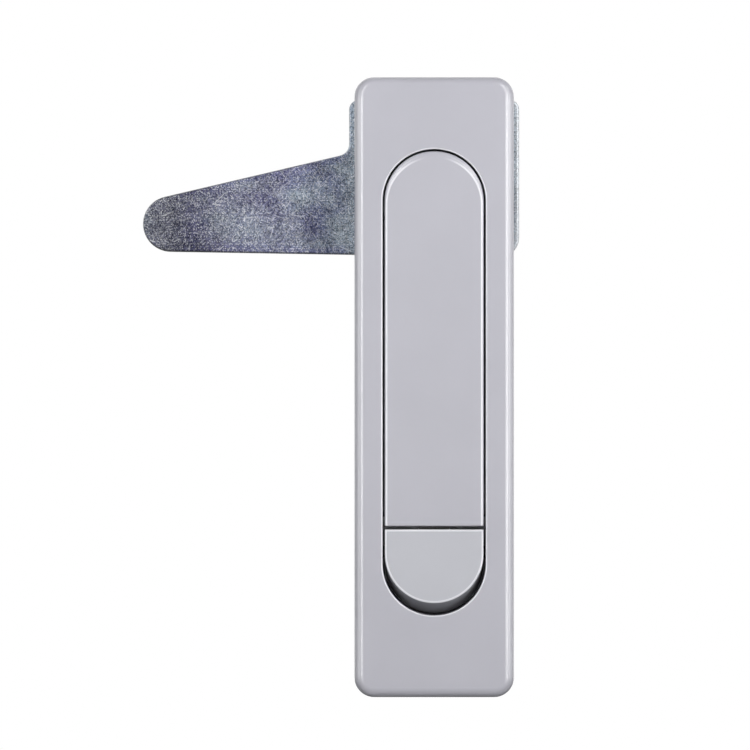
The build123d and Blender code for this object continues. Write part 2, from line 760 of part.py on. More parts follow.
with BuildPart() as catch_screw:
    with BuildSketch(deep(button_well_depth - catch_thickness)):
        with Locations((0, -catch_screw_below)):
            Circle(catch_screw_head_radius)
    extrude(amount=catch_screw_head)
    with BuildSketch(deep(button_well_depth - catch_thickness)):
        with Locations((0, -catch_screw_below)):
            Circle(catch_screw_radius)
    extrude(amount=-(catch_screw_length + catch_thickness))
catch_screw.part.label = "catch_screw"
export_step(catch_screw.part, "parts/catch_screw.step")
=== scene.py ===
"""Flush swing handle lock for a sheet-metal door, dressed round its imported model.

Lengths are metres unless a name says otherwise. +Z is up the door, +X to the right as seen from the
front, and the front faces -Y. The origin is where the spindle's axis meets the door's front face.

The painted body, handle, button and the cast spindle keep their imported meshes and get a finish. Every
other piece is worked out again with its rolled edges, threads, slots and wire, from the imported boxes.
"""

from __future__ import annotations

import logging
import math
from dataclasses import dataclass, field
from enum import Enum
from functools import cache, reduce
from typing import Sequence, Union

import bmesh
import bpy
import numpy as np
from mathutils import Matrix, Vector
from mathutils.geometry import tessellate_polygon


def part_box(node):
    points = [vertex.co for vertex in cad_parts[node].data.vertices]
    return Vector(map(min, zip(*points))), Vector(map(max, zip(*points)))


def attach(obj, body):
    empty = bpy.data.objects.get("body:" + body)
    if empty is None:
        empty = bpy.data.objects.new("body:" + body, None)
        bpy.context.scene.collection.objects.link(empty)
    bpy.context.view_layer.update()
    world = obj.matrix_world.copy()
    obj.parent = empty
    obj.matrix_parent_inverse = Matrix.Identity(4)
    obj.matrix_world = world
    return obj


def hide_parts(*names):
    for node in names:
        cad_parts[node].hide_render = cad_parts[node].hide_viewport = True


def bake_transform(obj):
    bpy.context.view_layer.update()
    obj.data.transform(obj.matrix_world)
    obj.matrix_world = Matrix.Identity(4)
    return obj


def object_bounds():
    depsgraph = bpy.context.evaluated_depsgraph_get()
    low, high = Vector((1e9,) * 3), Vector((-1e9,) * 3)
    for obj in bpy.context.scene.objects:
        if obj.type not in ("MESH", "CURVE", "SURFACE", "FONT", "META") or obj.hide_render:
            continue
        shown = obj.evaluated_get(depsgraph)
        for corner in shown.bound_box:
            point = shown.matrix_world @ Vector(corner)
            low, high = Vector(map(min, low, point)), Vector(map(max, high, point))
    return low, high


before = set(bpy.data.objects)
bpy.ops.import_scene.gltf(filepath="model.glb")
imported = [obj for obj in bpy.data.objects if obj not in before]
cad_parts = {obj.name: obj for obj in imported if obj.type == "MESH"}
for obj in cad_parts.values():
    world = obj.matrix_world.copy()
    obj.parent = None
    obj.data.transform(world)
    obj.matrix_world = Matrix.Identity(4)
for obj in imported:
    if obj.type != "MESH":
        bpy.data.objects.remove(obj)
CAD_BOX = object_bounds()

LOG = logging.getLogger("swing_handle_lock")
MM = 0.001
TAU = 2 * math.pi
CREASE = 38.0  # degrees
Socket = bpy.types.NodeSocket
Value = Union[float, Socket]
Colour = tuple[float, float, float]
Range = tuple[float, float]


class Body(str, Enum):
    """The bodies that pieces ride on."""

    HOUSING = "housing"
    SPINDLE = "spindle"


class Slot(str, Enum):
    """The record's material slots."""

    PAINTED_CASTING = "painted_casting"
    PAINTED_BUTTON = "painted_button"
    GASKET_RUBBER = "gasket_rubber"
    SEAL_RUBBER = "seal_rubber"
    ZINC_PLATE = "zinc_plate"
    PLATED_FASTENER = "plated_fastener"
    BARE_CASTING = "bare_casting"
    STEEL_PIN = "steel_pin"
    SPRING_STEEL = "spring_steel"
    NYLON = "nylon"


# Surfaces


@dataclass
class Shell:
    """A closed surface put together from patches whose edges meet.

    Each vertex also carries `lay`, a place or distance that the finish may follow.
    """

    patches: list[np.ndarray] = field(default_factory=list)
    lays: list[np.ndarray] = field(default_factory=list)
    faces: list[Sequence[int]] = field(default_factory=list)
    count: int = 0

    def take(self, points: np.ndarray, lay: np.ndarray | float) -> int:
        """Adds points.

        Args:
            points: Their places.
            lay: What the finish follows there.

        Returns:
            The number of the first point added.
        """
        flat = np.array(points, float).reshape(-1, 3)
        first = self.count
        self.patches.append(flat)
        self.lays.append(np.broadcast_to(lay, np.shape(points)).reshape(-1, 3))
        self.count += len(flat)
        return first

    def sheet(
        self, points: np.ndarray, lay: np.ndarray | float = 0.0, ring_rows: bool = False, ring_columns: bool = True
    ) -> Shell:
        """Adds a grid of four-sided faces.

        Args:
            points: Places, rows by columns by 3.
            lay: What the finish follows there.
            ring_rows: The last row joins the first.
            ring_columns: The last column joins the first.

        Returns:
            The shell itself.
        """
        rows, columns = points.shape[:2]
        index = self.take(points, lay) + np.arange(rows * columns).reshape(rows, columns)
        if ring_rows:
            index = np.vstack([index, index[:1]])
        if ring_columns:
            index = np.hstack([index, index[:, :1]])
        corners = [index[:-1, :-1], index[:-1, 1:], index[1:, 1:], index[1:, :-1]]
        self.faces += np.stack(corners, -1).reshape(-1, 4).tolist()
        return self

    def lid(self, *loops: np.ndarray, lay: float = 0.0) -> Shell:
        """Closes a flat opening.

        Args:
            loops: The first bounds the opening, and the others are holes in it.
            lay: What the finish follows there.

        Returns:
            The shell itself.
        """
        first = self.take(np.vstack(loops), lay)
        triangles = tessellate_polygon([[Vector(p) for p in loop] for loop in loops])
        self.faces += (np.array(triangles) + first).tolist()
        return self

    def mesh(self, name: str, crease: float = CREASE) -> bpy.types.Mesh:
        """Welds the patches, turns the faces outwards and shades them smooth.

        Args:
            name: The mesh's name.
            crease: Sharpest turn between faces that is still shaded smooth, in degrees.

        Returns:
            The mesh.
        """
        mesh = bpy.data.meshes.new(name)
        mesh.from_pydata(np.vstack(self.patches).tolist(), [], self.faces)
        mesh.attributes.new("lay", "FLOAT_VECTOR", "POINT").data.foreach_set("vector", np.vstack(self.lays).ravel())
        weld = bmesh.new()
        weld.from_mesh(mesh)
        bmesh.ops.remove_doubles(weld, verts=weld.verts, dist=2e-6)
        bmesh.ops.dissolve_degenerate(weld, edges=weld.edges, dist=1e-7)
        bmesh.ops.recalc_face_normals(weld, faces=weld.faces)
        weld.to_mesh(mesh)
        weld.free()
        smooth(mesh, crease)
        return mesh


def smooth(mesh: bpy.types.Mesh, crease: float = CREASE) -> None:
    """Shades a mesh smooth up to a crease in degrees."""
    mesh.shade_smooth()
    mesh.set_sharp_from_angle(angle=math.radians(crease))


def turn(count: int, start: float = 0.0, sweep: float = TAU) -> np.ndarray:
    """Angles spread evenly from start over a sweep, without the last one if the sweep is a full turn."""
    return start + np.linspace(0, sweep, count, endpoint=abs(abs(sweep) - TAU) > 1e-9)


def about_y(angle: np.ndarray, out: np.ndarray | float = 1.0, level: np.ndarray | float = 0.0) -> np.ndarray:
    """Places round Y: x is out * cos of the angle, y is the level, and z is out * sin of the angle."""
    return np.stack(np.broadcast_arrays(out * np.cos(angle), level, out * np.sin(angle)), -1)


def turned(profile: np.ndarray, origin: Sequence[float], axis: str = "Y", count: int = 64) -> np.ndarray:
    """A profile turned about a line.

    A point at distance r from the line and h along it goes to origin + h * axis + r * (cos t, sin t)
    across the axis, for t round the full turn.

    Args:
        profile: Rows of h and r.
        origin: Where h is zero.
        axis: The line's direction, X or Y.
        count: Steps round the turn.

    Returns:
        A grid with a row for each profile point.
    """
    grid = about_y(turn(count), profile[:, 1, None], profile[:, 0, None])
    return (grid if axis == "Y" else grid[..., [1, 0, 2]]) + np.asarray(origin, float)


DOME = ((0.82, 0.22), (0.0, 0.3))  # a section's size as a share, and how far out it stands in radii


def wire(path: np.ndarray, side: np.ndarray, radius: float, count: int = 14) -> Shell:
    """A round wire along a path, each end closed by a low dome.

    Each section is path + radius * (cos t * a + sin t * b), where a is the side direction made square
    to the path, and b is square to both. The lay is the same wire laid out straight. A dome is the end
    section drawn in towards its middle and pushed out along the path, in two steps.

    Args:
        path: Points, n by 3.
        side: A direction at each point, not along the path.
        radius: The wire's radius.
        count: Steps round the wire.

    Returns:
        The wire's surface.
    """
    step = np.gradient(path, axis=0)
    along = step / np.linalg.norm(step, axis=1, keepdims=True)
    a = side - (side * along).sum(1, keepdims=True) * along
    a /= np.linalg.norm(a, axis=1, keepdims=True)
    b = np.cross(along, a)
    angle = turn(count)[None, :, None]
    grid = path[:, None] + radius * (np.cos(angle) * a[:, None] + np.sin(angle) * b[:, None])
    run = np.concatenate([[0], np.cumsum(np.linalg.norm(np.diff(path, axis=0), axis=1))])
    lay = about_y(turn(count), radius, run[:, None])[..., [1, 0, 2]]
    domes = []
    for end, inward in ((0, 1), (-1, -2)):
        middle, out = grid[end].mean(0), path[end] - path[inward]
        out = out / np.linalg.norm(out) * radius
        domes.append([middle + share * (grid[end] - middle) + rise * out for share, rise in DOME])
    rows = np.stack([*domes[0][::-1], *grid, *domes[1]])
    lays = np.concatenate([lay[[0, 0]], lay, lay[[-1, -1]]])
    return Shell().sheet(rows, lays)


@dataclass(frozen=True)
class Outline:
    """A closed outline in the door's plane, its places and directions written as x + 1j * z.

    Attributes:
        points: Places on the outline.
        normals: At each, the direction that leads out of the metal.
    """

    points: np.ndarray
    normals: np.ndarray

    @staticmethod
    def cornered(corners: Sequence[Sequence[float]], hole: bool = False, steps: int = 8) -> Outline:
        """An outline from its corners, each rounded by its own radius.

        At a corner the normal turns evenly from one edge's to the next one's, and the point stands off
        the arc's centre along it by the radius, to the other side where the corner points inwards.

        Args:
            corners: x, z and radius, anticlockwise. A point of a curve has radius 0.
            hole: The metal lies outside the outline.
            steps: Points on each rounded corner.

        Returns:
            The outline.
        """
        x, z, radius = np.asarray(corners, float).T
        place = x + 1j * z
        edge = np.roll(place, -1) - place
        edge /= abs(edge)
        before = np.roll(edge, 1)
        bend = np.angle(edge / before)
        offset = np.where(bend < 0, -radius, radius)
        out = -1j * before
        centre = place - before * radius * np.tan(abs(bend) / 2) - out * offset
        rounded = radius[:, None] > 0
        share = np.where(rounded, np.linspace(0, 1, steps), 0.5)
        normal = out[:, None] * np.exp(1j * bend[:, None] * share)
        point = centre[:, None] + offset[:, None] * normal
        kept = rounded | (np.arange(steps) == 0)
        return Outline(point[kept], normal[kept] * (-1 if hole else 1))

    @staticmethod
    def ring(radius: float, centre: complex = 0, hole: bool = False, count: int = 72) -> Outline:
        """A circle."""
        normal = np.exp(1j * turn(count))
        return Outline(centre + radius * normal, normal * (-1 if hole else 1))

    @staticmethod
    def rectangle(
        low: Sequence[float], high: Sequence[float], radius: float, hole: bool = False, steps: int = 8
    ) -> Outline:
        """A rectangle with rounded corners, from its lowest and highest x and z."""
        corners = [(low[0], low[1]), (high[0], low[1]), (high[0], high[1]), (low[0], high[1])]
        return Outline.cornered([(x, z, radius) for x, z in corners], hole, steps)

    @staticmethod
    def square_hole(side: float, radius: float) -> Outline:
        """A square hole on the spindle's axis."""
        return Outline.rectangle((-side / 2, -side / 2), (side / 2, side / 2), radius, hole=True)


@dataclass(frozen=True)
class Pressing:
    """A flat plate with rolled edges, as it leaves a press.

    Attributes:
        outer: The outline.
        hole: The hole's outline.
        front: y of its front.
        back: y of its back.
        front_round: Radius of its edges in front.
        back_round: Radius of its edges behind.
        rims: Distances in from the edge at which the flat is divided, so that the finish can follow it.
    """

    outer: Outline
    hole: Outline
    front: float
    back: float
    front_round: float = 0.35 * MM
    back_round: float = 0.2 * MM
    rims: tuple[float, ...] = (0.25 * MM,)

    def shell(self) -> Shell:
        """Carries the edge's section round both outlines, then closes the flats.

        The section is: flat, quarter round, upright wall, quarter round, flat. On a quarter round the
        inset is radius * (1 - sin t) and the depth radius * (1 - cos t).

        Returns:
            The plate's surface.
        """
        arc = np.linspace(0, math.pi / 2, 7)
        rims = np.array(sorted(self.rims, reverse=True))
        shy, deep = 1 - np.sin(arc), 1 - np.cos(arc)
        front, back = self.front_round, self.back_round
        inset = np.concatenate([front + rims, front * shy, back * shy[::-1], back + rims[::-1]])
        level = np.concatenate(
            [self.front + 0 * rims, self.front + front * deep, self.back - back * deep[::-1], self.back + 0 * rims]
        )
        shell = Shell()
        grids = []
        for line in (self.outer, self.hole):
            flat = line.points - inset[:, None] * line.normals
            grids.append(np.stack(np.broadcast_arrays(flat.real, level[:, None], flat.imag), -1))
            shell.sheet(grids[-1], inset[:, None, None])
        for row in (0, -1):
            shell.lid(*(grid[row] for grid in grids), lay=inset[row])
        return shell


def screw(
    shell: Shell, head: np.ndarray, angle: np.ndarray, shank: float, pitch: float, end: float, lead_in: float
) -> Shell:
    """Adds a screw's turned head and its threaded shank, which points down Y.

    At angle t and depth d the thread's radius drops by the depth of cut where the phase
    d / pitch + t / turn lies near a whole number, flat at crest and root. The cut fades out at the head
    and at the end, which is chamfered.

    Args:
        shell: Takes the surface.
        head: Rows of the head, the last one round the shank.
        angle: The angle of each column.
        shank: The shank's radius.
        pitch: The thread's pitch.
        end: y of the shank's end.
        lead_in: Length of the chamfer.

    Returns:
        The shell itself.
    """
    rows_a_pitch, flank, crest, depth = 10, 2.7, 0.35, 0.54 * pitch
    fade_in, fade_out, chamfer = 1.2 * pitch, 0.4 * pitch, 0.22 * shank
    seat = head[-1, 0, 1]
    length = seat - end
    down = np.linspace(0, length, max(int(length / pitch * rows_a_pitch), 12))[:, None]
    phase = (down / pitch + angle / TAU) % 1.0
    cut = np.clip(flank * abs(phase - 0.5) - crest, 0.0, 1.0)
    fade = np.clip(down / fade_in, 0, 1) * np.clip((length - down) / fade_out, 0, 1)
    taper = np.clip((down - (length - lead_in)) / lead_in, 0, 1) * chamfer
    rows = about_y(angle, shank - depth * cut * fade - taper, seat - down)
    return shell.sheet(head).sheet(np.concatenate([head[-1:], rows])).lid(rows[-1])


# Finishes


class Graph:
    """The nodes of one material or world, wired in few words."""

    def __init__(self, owner: bpy.types.ID, shader: str = "Principled BSDF", place: str = "Object") -> None:
        """Starts from the owner's shader and its coordinates.

        Args:
            owner: The material or world.
            shader: The name of its shader's node.
            place: The coordinates that patterns follow.
        """
        owner.use_nodes = True
        self.owner = owner
        self.tree = owner.node_tree
        self.shader = self.tree.nodes[shader]
        self.place = self.add("ShaderNodeTexCoord").outputs[place]

    def add(self, kind: str, settings: dict | None = None, **inputs: object) -> bpy.types.Node:
        """Makes a node.

        Args:
            kind: The node's type.
            settings: Its properties.
            inputs: What `set` takes.

        Returns:
            The node.
        """
        node = self.tree.nodes.new(kind)
        for key, value in (settings or {}).items():
            setattr(node, key, value)
        self.set(node, **inputs)
        return node

    def set(self, node: bpy.types.Node, **inputs: object) -> None:
        """Gives a node's sockets values or links.

        Args:
            node: The node.
            inputs: Values or sockets by input name, with _ for a space, or i0, i1 for an input's number.
        """
        for key, value in inputs.items():
            socket = node.inputs[int(key[1:]) if key[1:].isdigit() else key.replace("_", " ")]
            if isinstance(value, Socket):
                self.tree.links.new(value, socket)
            else:
                socket.default_value = value

    def wire(self, **inputs: object) -> None:
        """Sets the shader's own sockets."""
        self.set(self.shader, **inputs)

    def math(self, operation: str, *values: Value) -> Socket:
        """One sum of one or two numbers."""
        inputs = {f"i{number}": value for number, value in enumerate(values)}
        return self.add("ShaderNodeMath", {"operation": operation}, **inputs).outputs[0]

    def times(self, *values: Value) -> Socket:
        """The numbers multiplied."""
        return reduce(lambda first, second: self.math("MULTIPLY", first, second), values)

    def plus(self, *values: Value) -> Socket:
        """The numbers added."""
        return reduce(lambda first, second: self.math("ADD", first, second), values)

    def most(self, *values: Value) -> Socket:
        """The greatest of the numbers."""
        return reduce(lambda first, second: self.math("MAXIMUM", first, second), values)

    def blend(self, *parts: tuple[Socket, float]) -> Socket:
        """The sum of numbers, each times its weight."""
        return self.plus(*(self.times(value, weight) for value, weight in parts))

    def span(self, value: Value, low: float, high: float, start: float = 0.0, stop: float = 1.0) -> Socket:
        """The value eased from low..high to start..stop."""
        ends = {"From_Min": low, "From_Max": high, "To_Min": start, "To_Max": stop}
        return self.add("ShaderNodeMapRange", {"interpolation_type": "SMOOTHSTEP"}, Value=value, **ends).outputs[0]

    def band(self, value: Value, rise: Range, fall: Range, peak: float = 1.0) -> Socket:
        """Rises from 0 to the peak where the value passes through one range, and falls to 0 through the other."""
        return self.times(self.span(value, *rise), self.span(value, *fall, peak, 0.0))

    def mix(self, share: Value, first: object, second: object, way: str = "MIX") -> Socket:
        """Two colours mixed."""
        settings = {"data_type": "RGBA", "blend_type": way}
        return self.add("ShaderNodeMix", settings, i0=share, i6=first, i7=second).outputs[2]

    def tinted(self, colour: object, tint: object) -> Socket:
        """A colour multiplied by another, or by a number."""
        return self.mix(1.0, colour, tint, "MULTIPLY")

    def noise(self, scale: float, detail: float = 3.0, roughness: float = 0.5, place: Socket | None = None) -> Socket:
        """A noise with its size given in waves a metre."""
        inputs = {"Scale": scale, "Detail": detail, "Roughness": roughness}
        return self.add("ShaderNodeTexNoise", Vector=place or self.place, **inputs).outputs["Fac"]

    def axes(self, place: Socket | None = None) -> tuple[Socket, ...]:
        """X, Y and Z of a place, or of the coordinates."""
        return tuple(self.add("ShaderNodeSeparateXYZ", Vector=place or self.place).outputs)

    def lay(self, form: str) -> Socket:
        """What a shell's vertices carry, as its Fac or its Vector."""
        return self.add("ShaderNodeAttribute", {"attribute_name": "lay"}).outputs[form]

    def bump(self, height: Socket, distance: float, strength: float = 1.0) -> None:
        """Puts a relief on the shader, of a height in metres."""
        node = self.add("ShaderNodeBump", Height=height, Distance=distance, Strength=strength)
        self.wire(Normal=node.outputs[0])


def rgb(colour: Colour, by: float = 1.0) -> tuple[float, float, float, float]:
    """A linear colour for a socket, made lighter or darker."""
    return (*(min(1.0, channel * by) for channel in colour), 1.0)


@dataclass(frozen=True)
class EdgeLine:
    """A line along a rounded edge, where the paint is lightened as a painted highlight; with a wide inner reach it
    also marks the recess for painted shade.

    The edge follows the outline of a slot: all places at one distance from an upright line.

    Attributes:
        top: Upper end of the slot's middle line.
        bottom: Its lower end.
        radius: The slot's half-width.
        inner: How far inside the outline the line starts.
        outer: How far outside it the line ends.
        cap: Height at which the slot is cut off square.
        bare: Half-width about the middle in which the line fades out above the slot's top.
        soft: Half the width over which it starts and ends.
    """

    top: float
    bottom: float
    radius: float
    inner: float
    outer: float
    cap: float = 1.0
    bare: float = 0.0
    soft: float = 0.06 * MM

    def build(self, g: Graph) -> Socket:
        """Distance is the length from the nearest point of the middle line, less the radius.

        Args:
            g: The material's nodes.

        Returns:
            How strong the line is, from 0 to 1.
        """
        x, _, z = g.axes()
        rise = g.math("SUBTRACT", z, g.math("MINIMUM", g.most(z, self.bottom), self.top))
        away = g.math("SQRT", g.plus(g.times(x, x), g.times(rise, rise)))
        distance = g.most(g.plus(away, -self.radius), g.plus(z, -self.cap))
        start, stop = -self.inner, self.outer
        line = g.band(distance, (start - self.soft, start + self.soft), (stop - self.soft, stop + self.soft))
        if self.bare:
            sides = g.span(g.math("ABSOLUTE", x), 0.2 * self.bare, self.bare)
            line = g.times(line, g.most(sides, g.span(rise, 0.0, 1 * MM, 1.0, 0.0)))
        return line


@dataclass(frozen=True)
class SideLine:
    """A painted highlight along both long edges of the face plate, a little lighter than the face.

    Attributes:
        start: Distances from the middle over which it fades in.
        stop: Distances over which it fades out.
        foot: Heights over which its lower end fades in.
        head: Heights over which its upper end fades out.
        power: How strong it is.
    """

    start: Range = (14.9 * MM, 15.4 * MM)
    stop: Range = (16.3 * MM, 17.0 * MM)
    foot: Range = (-103.5 * MM, -100.5 * MM)
    head: Range = (21.0 * MM, 24.0 * MM)
    power: float = 0.42

    def build(self, g: Graph) -> Socket:
        """A band across X times a band along Z.

        Args:
            g: The material's nodes.

        Returns:
            How strong the line is.
        """
        x, _, z = g.axes()
        across = g.band(g.math("ABSOLUTE", x), self.start, self.stop, self.power)
        return g.times(across, g.band(z, self.foot, self.head))


@dataclass(frozen=True)
class Finish:
    """What all finishes share.

    Attributes:
        name: The material's name.
        colour: Its colour, which is the reflection of a metal.
    """

    name: str
    colour: Colour

    def dress(self, g: Graph) -> None:
        """Wires the finish into a material's nodes."""
        raise NotImplementedError

    def patchy(self, g: Graph, tone: Socket, spread: Range, dark: float, pale: float) -> Socket:
        """The finish's colour made darker and paler where a tone runs from one end of a spread to the other."""
        return g.mix(g.span(tone, *spread), rgb(self.colour, dark), rgb(self.colour, pale))


@dataclass(frozen=True)
class Paint(Finish):
    """Satin stoving paint: a fine ripple, patches a little lighter and darker, and painted highlights along its
    edges.

    Inside the recess the colour is darkened as painted shade.

    Attributes:
        edges: Where the painted highlights lie.
        roughness: How dull it is.
        recess_shade_outline: The recess's outline, inside which painted shade darkens the colour.
        uneven: How far its patches differ.
        ripple: Height of its ripple.
        highlight_colour: The colour of the painted highlights.
        highlight_strength: How strong the painted highlights are, from the least to the most.
        face: y over which the painted highlights end, behind the face.
        mouth: y over which the painted shade begins.
        back: y over which it ends, at the tray's back.
        thin: How dark the painted shade is.
    """

    edges: tuple[EdgeLine | SideLine, ...]
    roughness: float = 0.24
    recess_shade_outline: EdgeLine | None = None
    uneven: float = 0.018
    ripple: float = 0.9e-6
    highlight_colour: Colour = (0.90, 0.90, 0.94)
    highlight_strength: Range = (0.595, 0.85)
    face: Range = (-5.6 * MM, -5.2 * MM)
    mouth: Range = (-5.7 * MM, -4.2 * MM)
    back: Range = (4.0 * MM, 4.3 * MM)
    thin: float = 0.30

    def dress(self, g: Graph) -> None:
        """Lays the coat, then the painted highlights, then the painted shade in the recess.

        Args:
            g: The material's nodes.
        """
        patch = g.noise(55, 3, 0.55)
        tone = g.blend((patch, 0.7), (g.noise(5200, 2, 0.6), 0.3))
        colour = self.patchy(g, tone, (0.35, 0.65), 1 - self.uneven, 1 + self.uneven)
        level = g.axes()[1]
        at_face = g.span(level, *self.face, 1.0, 0.0)
        # Painted highlights: along each edge line the colour is lightened, on the face only.
        for edge in self.edges:
            painted_highlight = g.times(edge.build(g), g.span(patch, 0.2, 0.6, *self.highlight_strength), at_face)
            colour = g.mix(painted_highlight, colour, rgb(self.highlight_colour))
        # Painted shade: inside the recess, from just behind the face to the tray's back, the colour is darkened.
        if self.recess_shade_outline:
            inside = g.times(self.recess_shade_outline.build(g), g.band(level, self.mouth, self.back))
            colour = g.mix(inside, colour, rgb(self.colour, self.thin))
        dull = g.span(g.noise(900, 3), 0.3, 0.7, self.roughness - 0.03, self.roughness + 0.03)
        g.wire(Base_Color=colour, Roughness=dull, Specular_IOR_Level=1.0)
        g.bump(g.noise(1500, 2, 0.4), self.ripple)


@dataclass(frozen=True)
class Fibres:
    """One scatter of short straight strokes, each lying its own way.

    Attributes:
        cell: Distance between strokes.
        length: Half the length of a stroke.
        width: Half its width.
        shift: Moves this scatter against the others.
    """

    cell: float
    length: float
    width: float
    shift: float

    def build(self, g: Graph) -> Socket:
        """A stroke is where the place, measured from its cell's seed and turned by the cell's own angle,
        is nearer the stroke's line than its width, and nearer the seed than its length.

        Args:
            g: The material's nodes.

        Returns:
            How strong the stroke is, from 0 to 1.
        """
        x, y, z = g.axes()
        flat = g.add("ShaderNodeCombineXYZ", X=g.plus(x, self.shift), Y=g.plus(z, g.times(y, 0.7))).outputs[0]
        cells = g.add("ShaderNodeTexVoronoi", {"voronoi_dimensions": "2D"}, Vector=flat, Scale=1 / self.cell)
        seed = g.add("ShaderNodeSeparateColor", Color=cells.outputs["Color"]).outputs
        away = g.add("ShaderNodeVectorMath", {"operation": "SUBTRACT"}, i0=flat, i1=cells.outputs["Position"])
        x, y, _ = g.axes(away.outputs[0])
        angle = g.times(seed[0], math.pi)
        cosine, sine = g.math("COSINE", angle), g.math("SINE", angle)
        along = g.math("ABSOLUTE", g.plus(g.times(x, cosine), g.times(y, sine)))
        across = g.math("ABSOLUTE", g.math("SUBTRACT", g.times(y, cosine), g.times(x, sine)))
        body = g.span(across, 0.25 * self.width, self.width, 1.0, 0.0)
        ends = g.span(along, 0.5 * self.length, self.length, 1.0, 0.0)
        power = g.span(seed[1], 0.2, 1.0, 0.2, 1.0)
        return g.times(body, ends, power, power)


@dataclass(frozen=True)
class ZincPlate(Finish):
    """Blue-passivated zinc on sheet steel, seen as a dark slate ground under a felt of fine bright strokes.

    Attributes:
        cam: It is the cam's, with painted shade that darkens it towards its arm's tip and painted light towards the
            root, and a violet darkening near the arm's edge.
        dark: The ground's darkest reflection, where its colour is the lightest.
        stroke: The strokes' reflection.
        edge_highlight: The colour of the painted highlight along the edges.
        violet: The tint where the plating is thick.
        green: The tint where it is thin.
        rim: The tint near the arm's edge.
        arm: x from the arm's tip to its root, over which the painted shade and light run.
        strokes: The felt's scatters.
    """

    cam: bool = False
    dark: Colour = (0.040, 0.044, 0.062)
    stroke: Colour = (0.960, 0.975, 1.000)
    edge_highlight: Colour = (0.86, 0.88, 0.90)
    violet: Colour = (1.00, 0.97, 1.05)
    green: Colour = (0.93, 1.03, 0.98)
    rim: Colour = (0.60, 0.58, 0.80)
    arm: Range = (-60 * MM, -18 * MM)
    strokes: tuple[Fibres, ...] = (
        Fibres(0.40 * MM, 0.17 * MM, 0.10 * MM, 0.0),
        Fibres(0.52 * MM, 0.22 * MM, 0.10 * MM, 0.37),
        Fibres(0.85 * MM, 0.40 * MM, 0.10 * MM, 0.71),
        Fibres(1.60 * MM, 0.75 * MM, 0.10 * MM, 1.13),
        Fibres(3.60 * MM, 2.00 * MM, 0.11 * MM, 1.79),
    )

    def dress(self, g: Graph) -> None:
        """Lays the ground, its tints, the cam's painted shade, the felt of strokes and the painted highlight along
        the edges.

        Args:
            g: The material's nodes.
        """
        across, lay = g.axes()[0], g.lay("Fac")
        cloud, grain, broad = g.noise(260, 4, 0.6), g.noise(3300, 3, 0.8), g.noise(70, 3, 0.6)
        ground = g.blend((cloud, 0.16), (grain, 0.66), (broad, 0.18))
        colour = g.mix(g.span(ground, 0.38, 0.64), rgb(self.dark), rgb(self.colour))
        thin = g.span(g.plus(broad, g.span(across, -48 * MM, -14 * MM, 0.0, 0.35)), 0.45, 0.80)
        colour = g.tinted(colour, g.mix(thin, (*self.violet, 1.0), (*self.green, 1.0)))
        stroke = rgb(self.stroke)
        if self.cam:
            ragged = g.times(lay, g.plus(g.times(g.noise(150, 3, 0.6), 2.4), -0.4))
            on_arm = g.band(across, (-59 * MM, -52 * MM), (-21 * MM, -17 * MM))
            edge = g.times(g.span(ragged, 0.6 * MM, 2.2 * MM, 1.0, 0.0), on_arm)
            colour = g.mix(edge, colour, g.tinted(colour, rgb(self.rim)))
            # Painted shade and light: the colour darkens towards the arm's tip and lightens towards its root, and the
            # strokes dim towards the tip.
            colour = g.tinted(colour, g.span(across, *self.arm, 0.62, 1.75))
            stroke = g.tinted(stroke, g.span(across, *self.arm, 0.72, 1.0))
        felt = g.most(*(layer.build(g) for layer in self.strokes))
        dense = g.span(g.plus(cloud, g.times(broad, 0.5)), 0.55, 0.95, 0.50, 1.0)
        colour = g.mix(g.times(felt, dense), colour, stroke)
        # Painted highlight along the plate's edges, widened on the head's right edge to stand for its reflection of
        # the bright side.
        wide = g.span(across, 10 * MM, 16 * MM, 1.0, 0.20)
        edge_highlight = g.span(g.times(lay, wide), 0.02 * MM, 0.28 * MM, 0.75, 0.0)
        colour = g.mix(g.times(edge_highlight, g.span(grain, 0.35, 0.60, 0.55, 1.0)), colour, rgb(self.edge_highlight))
        g.wire(Base_Color=colour, Metallic=1.0, Roughness=g.span(ground, 0.3, 0.7, 0.56, 0.46))
        g.bump(g.blend((grain, 0.5), (felt, 0.5)), 4e-6, 0.6)


@dataclass(frozen=True)
class Metal(Finish):
    """Bare or plated metal with a fine grain.

    Attributes:
        roughness: How dull it is.
        uneven: How far its patches differ.
        grain: Waves a metre of its relief.
        relief: Height of the relief.
        drawn: The grain is stretched along the wire or strip that the piece is made of.
    """

    roughness: float
    uneven: float = 0.12
    grain: float = 1800.0
    relief: float = 1.5e-6
    drawn: bool = False

    def dress(self, g: Graph) -> None:
        """Lays the patches and the grain.

        Args:
            g: The material's nodes.
        """
        cloud = g.noise(self.grain / 9, 4, 0.6)
        if self.drawn:
            along = g.add("ShaderNodeMapping", Vector=g.lay("Vector"), Scale=(0.06, 1.0, 1.0)).outputs[0]
            grain = g.noise(self.grain * 2, 3, 0.6, along)
        else:
            grain = g.noise(self.grain, 3, 0.6)
        tone = g.blend((cloud, 0.6), (grain, 0.4))
        colour = self.patchy(g, tone, (0.34, 0.66), 1 - self.uneven, 1 + self.uneven)
        dull = g.span(grain, 0.3, 0.7, self.roughness * 0.85, self.roughness * 1.15)
        g.wire(Base_Color=colour, Metallic=1.0, Roughness=dull)
        g.bump(grain, self.relief)


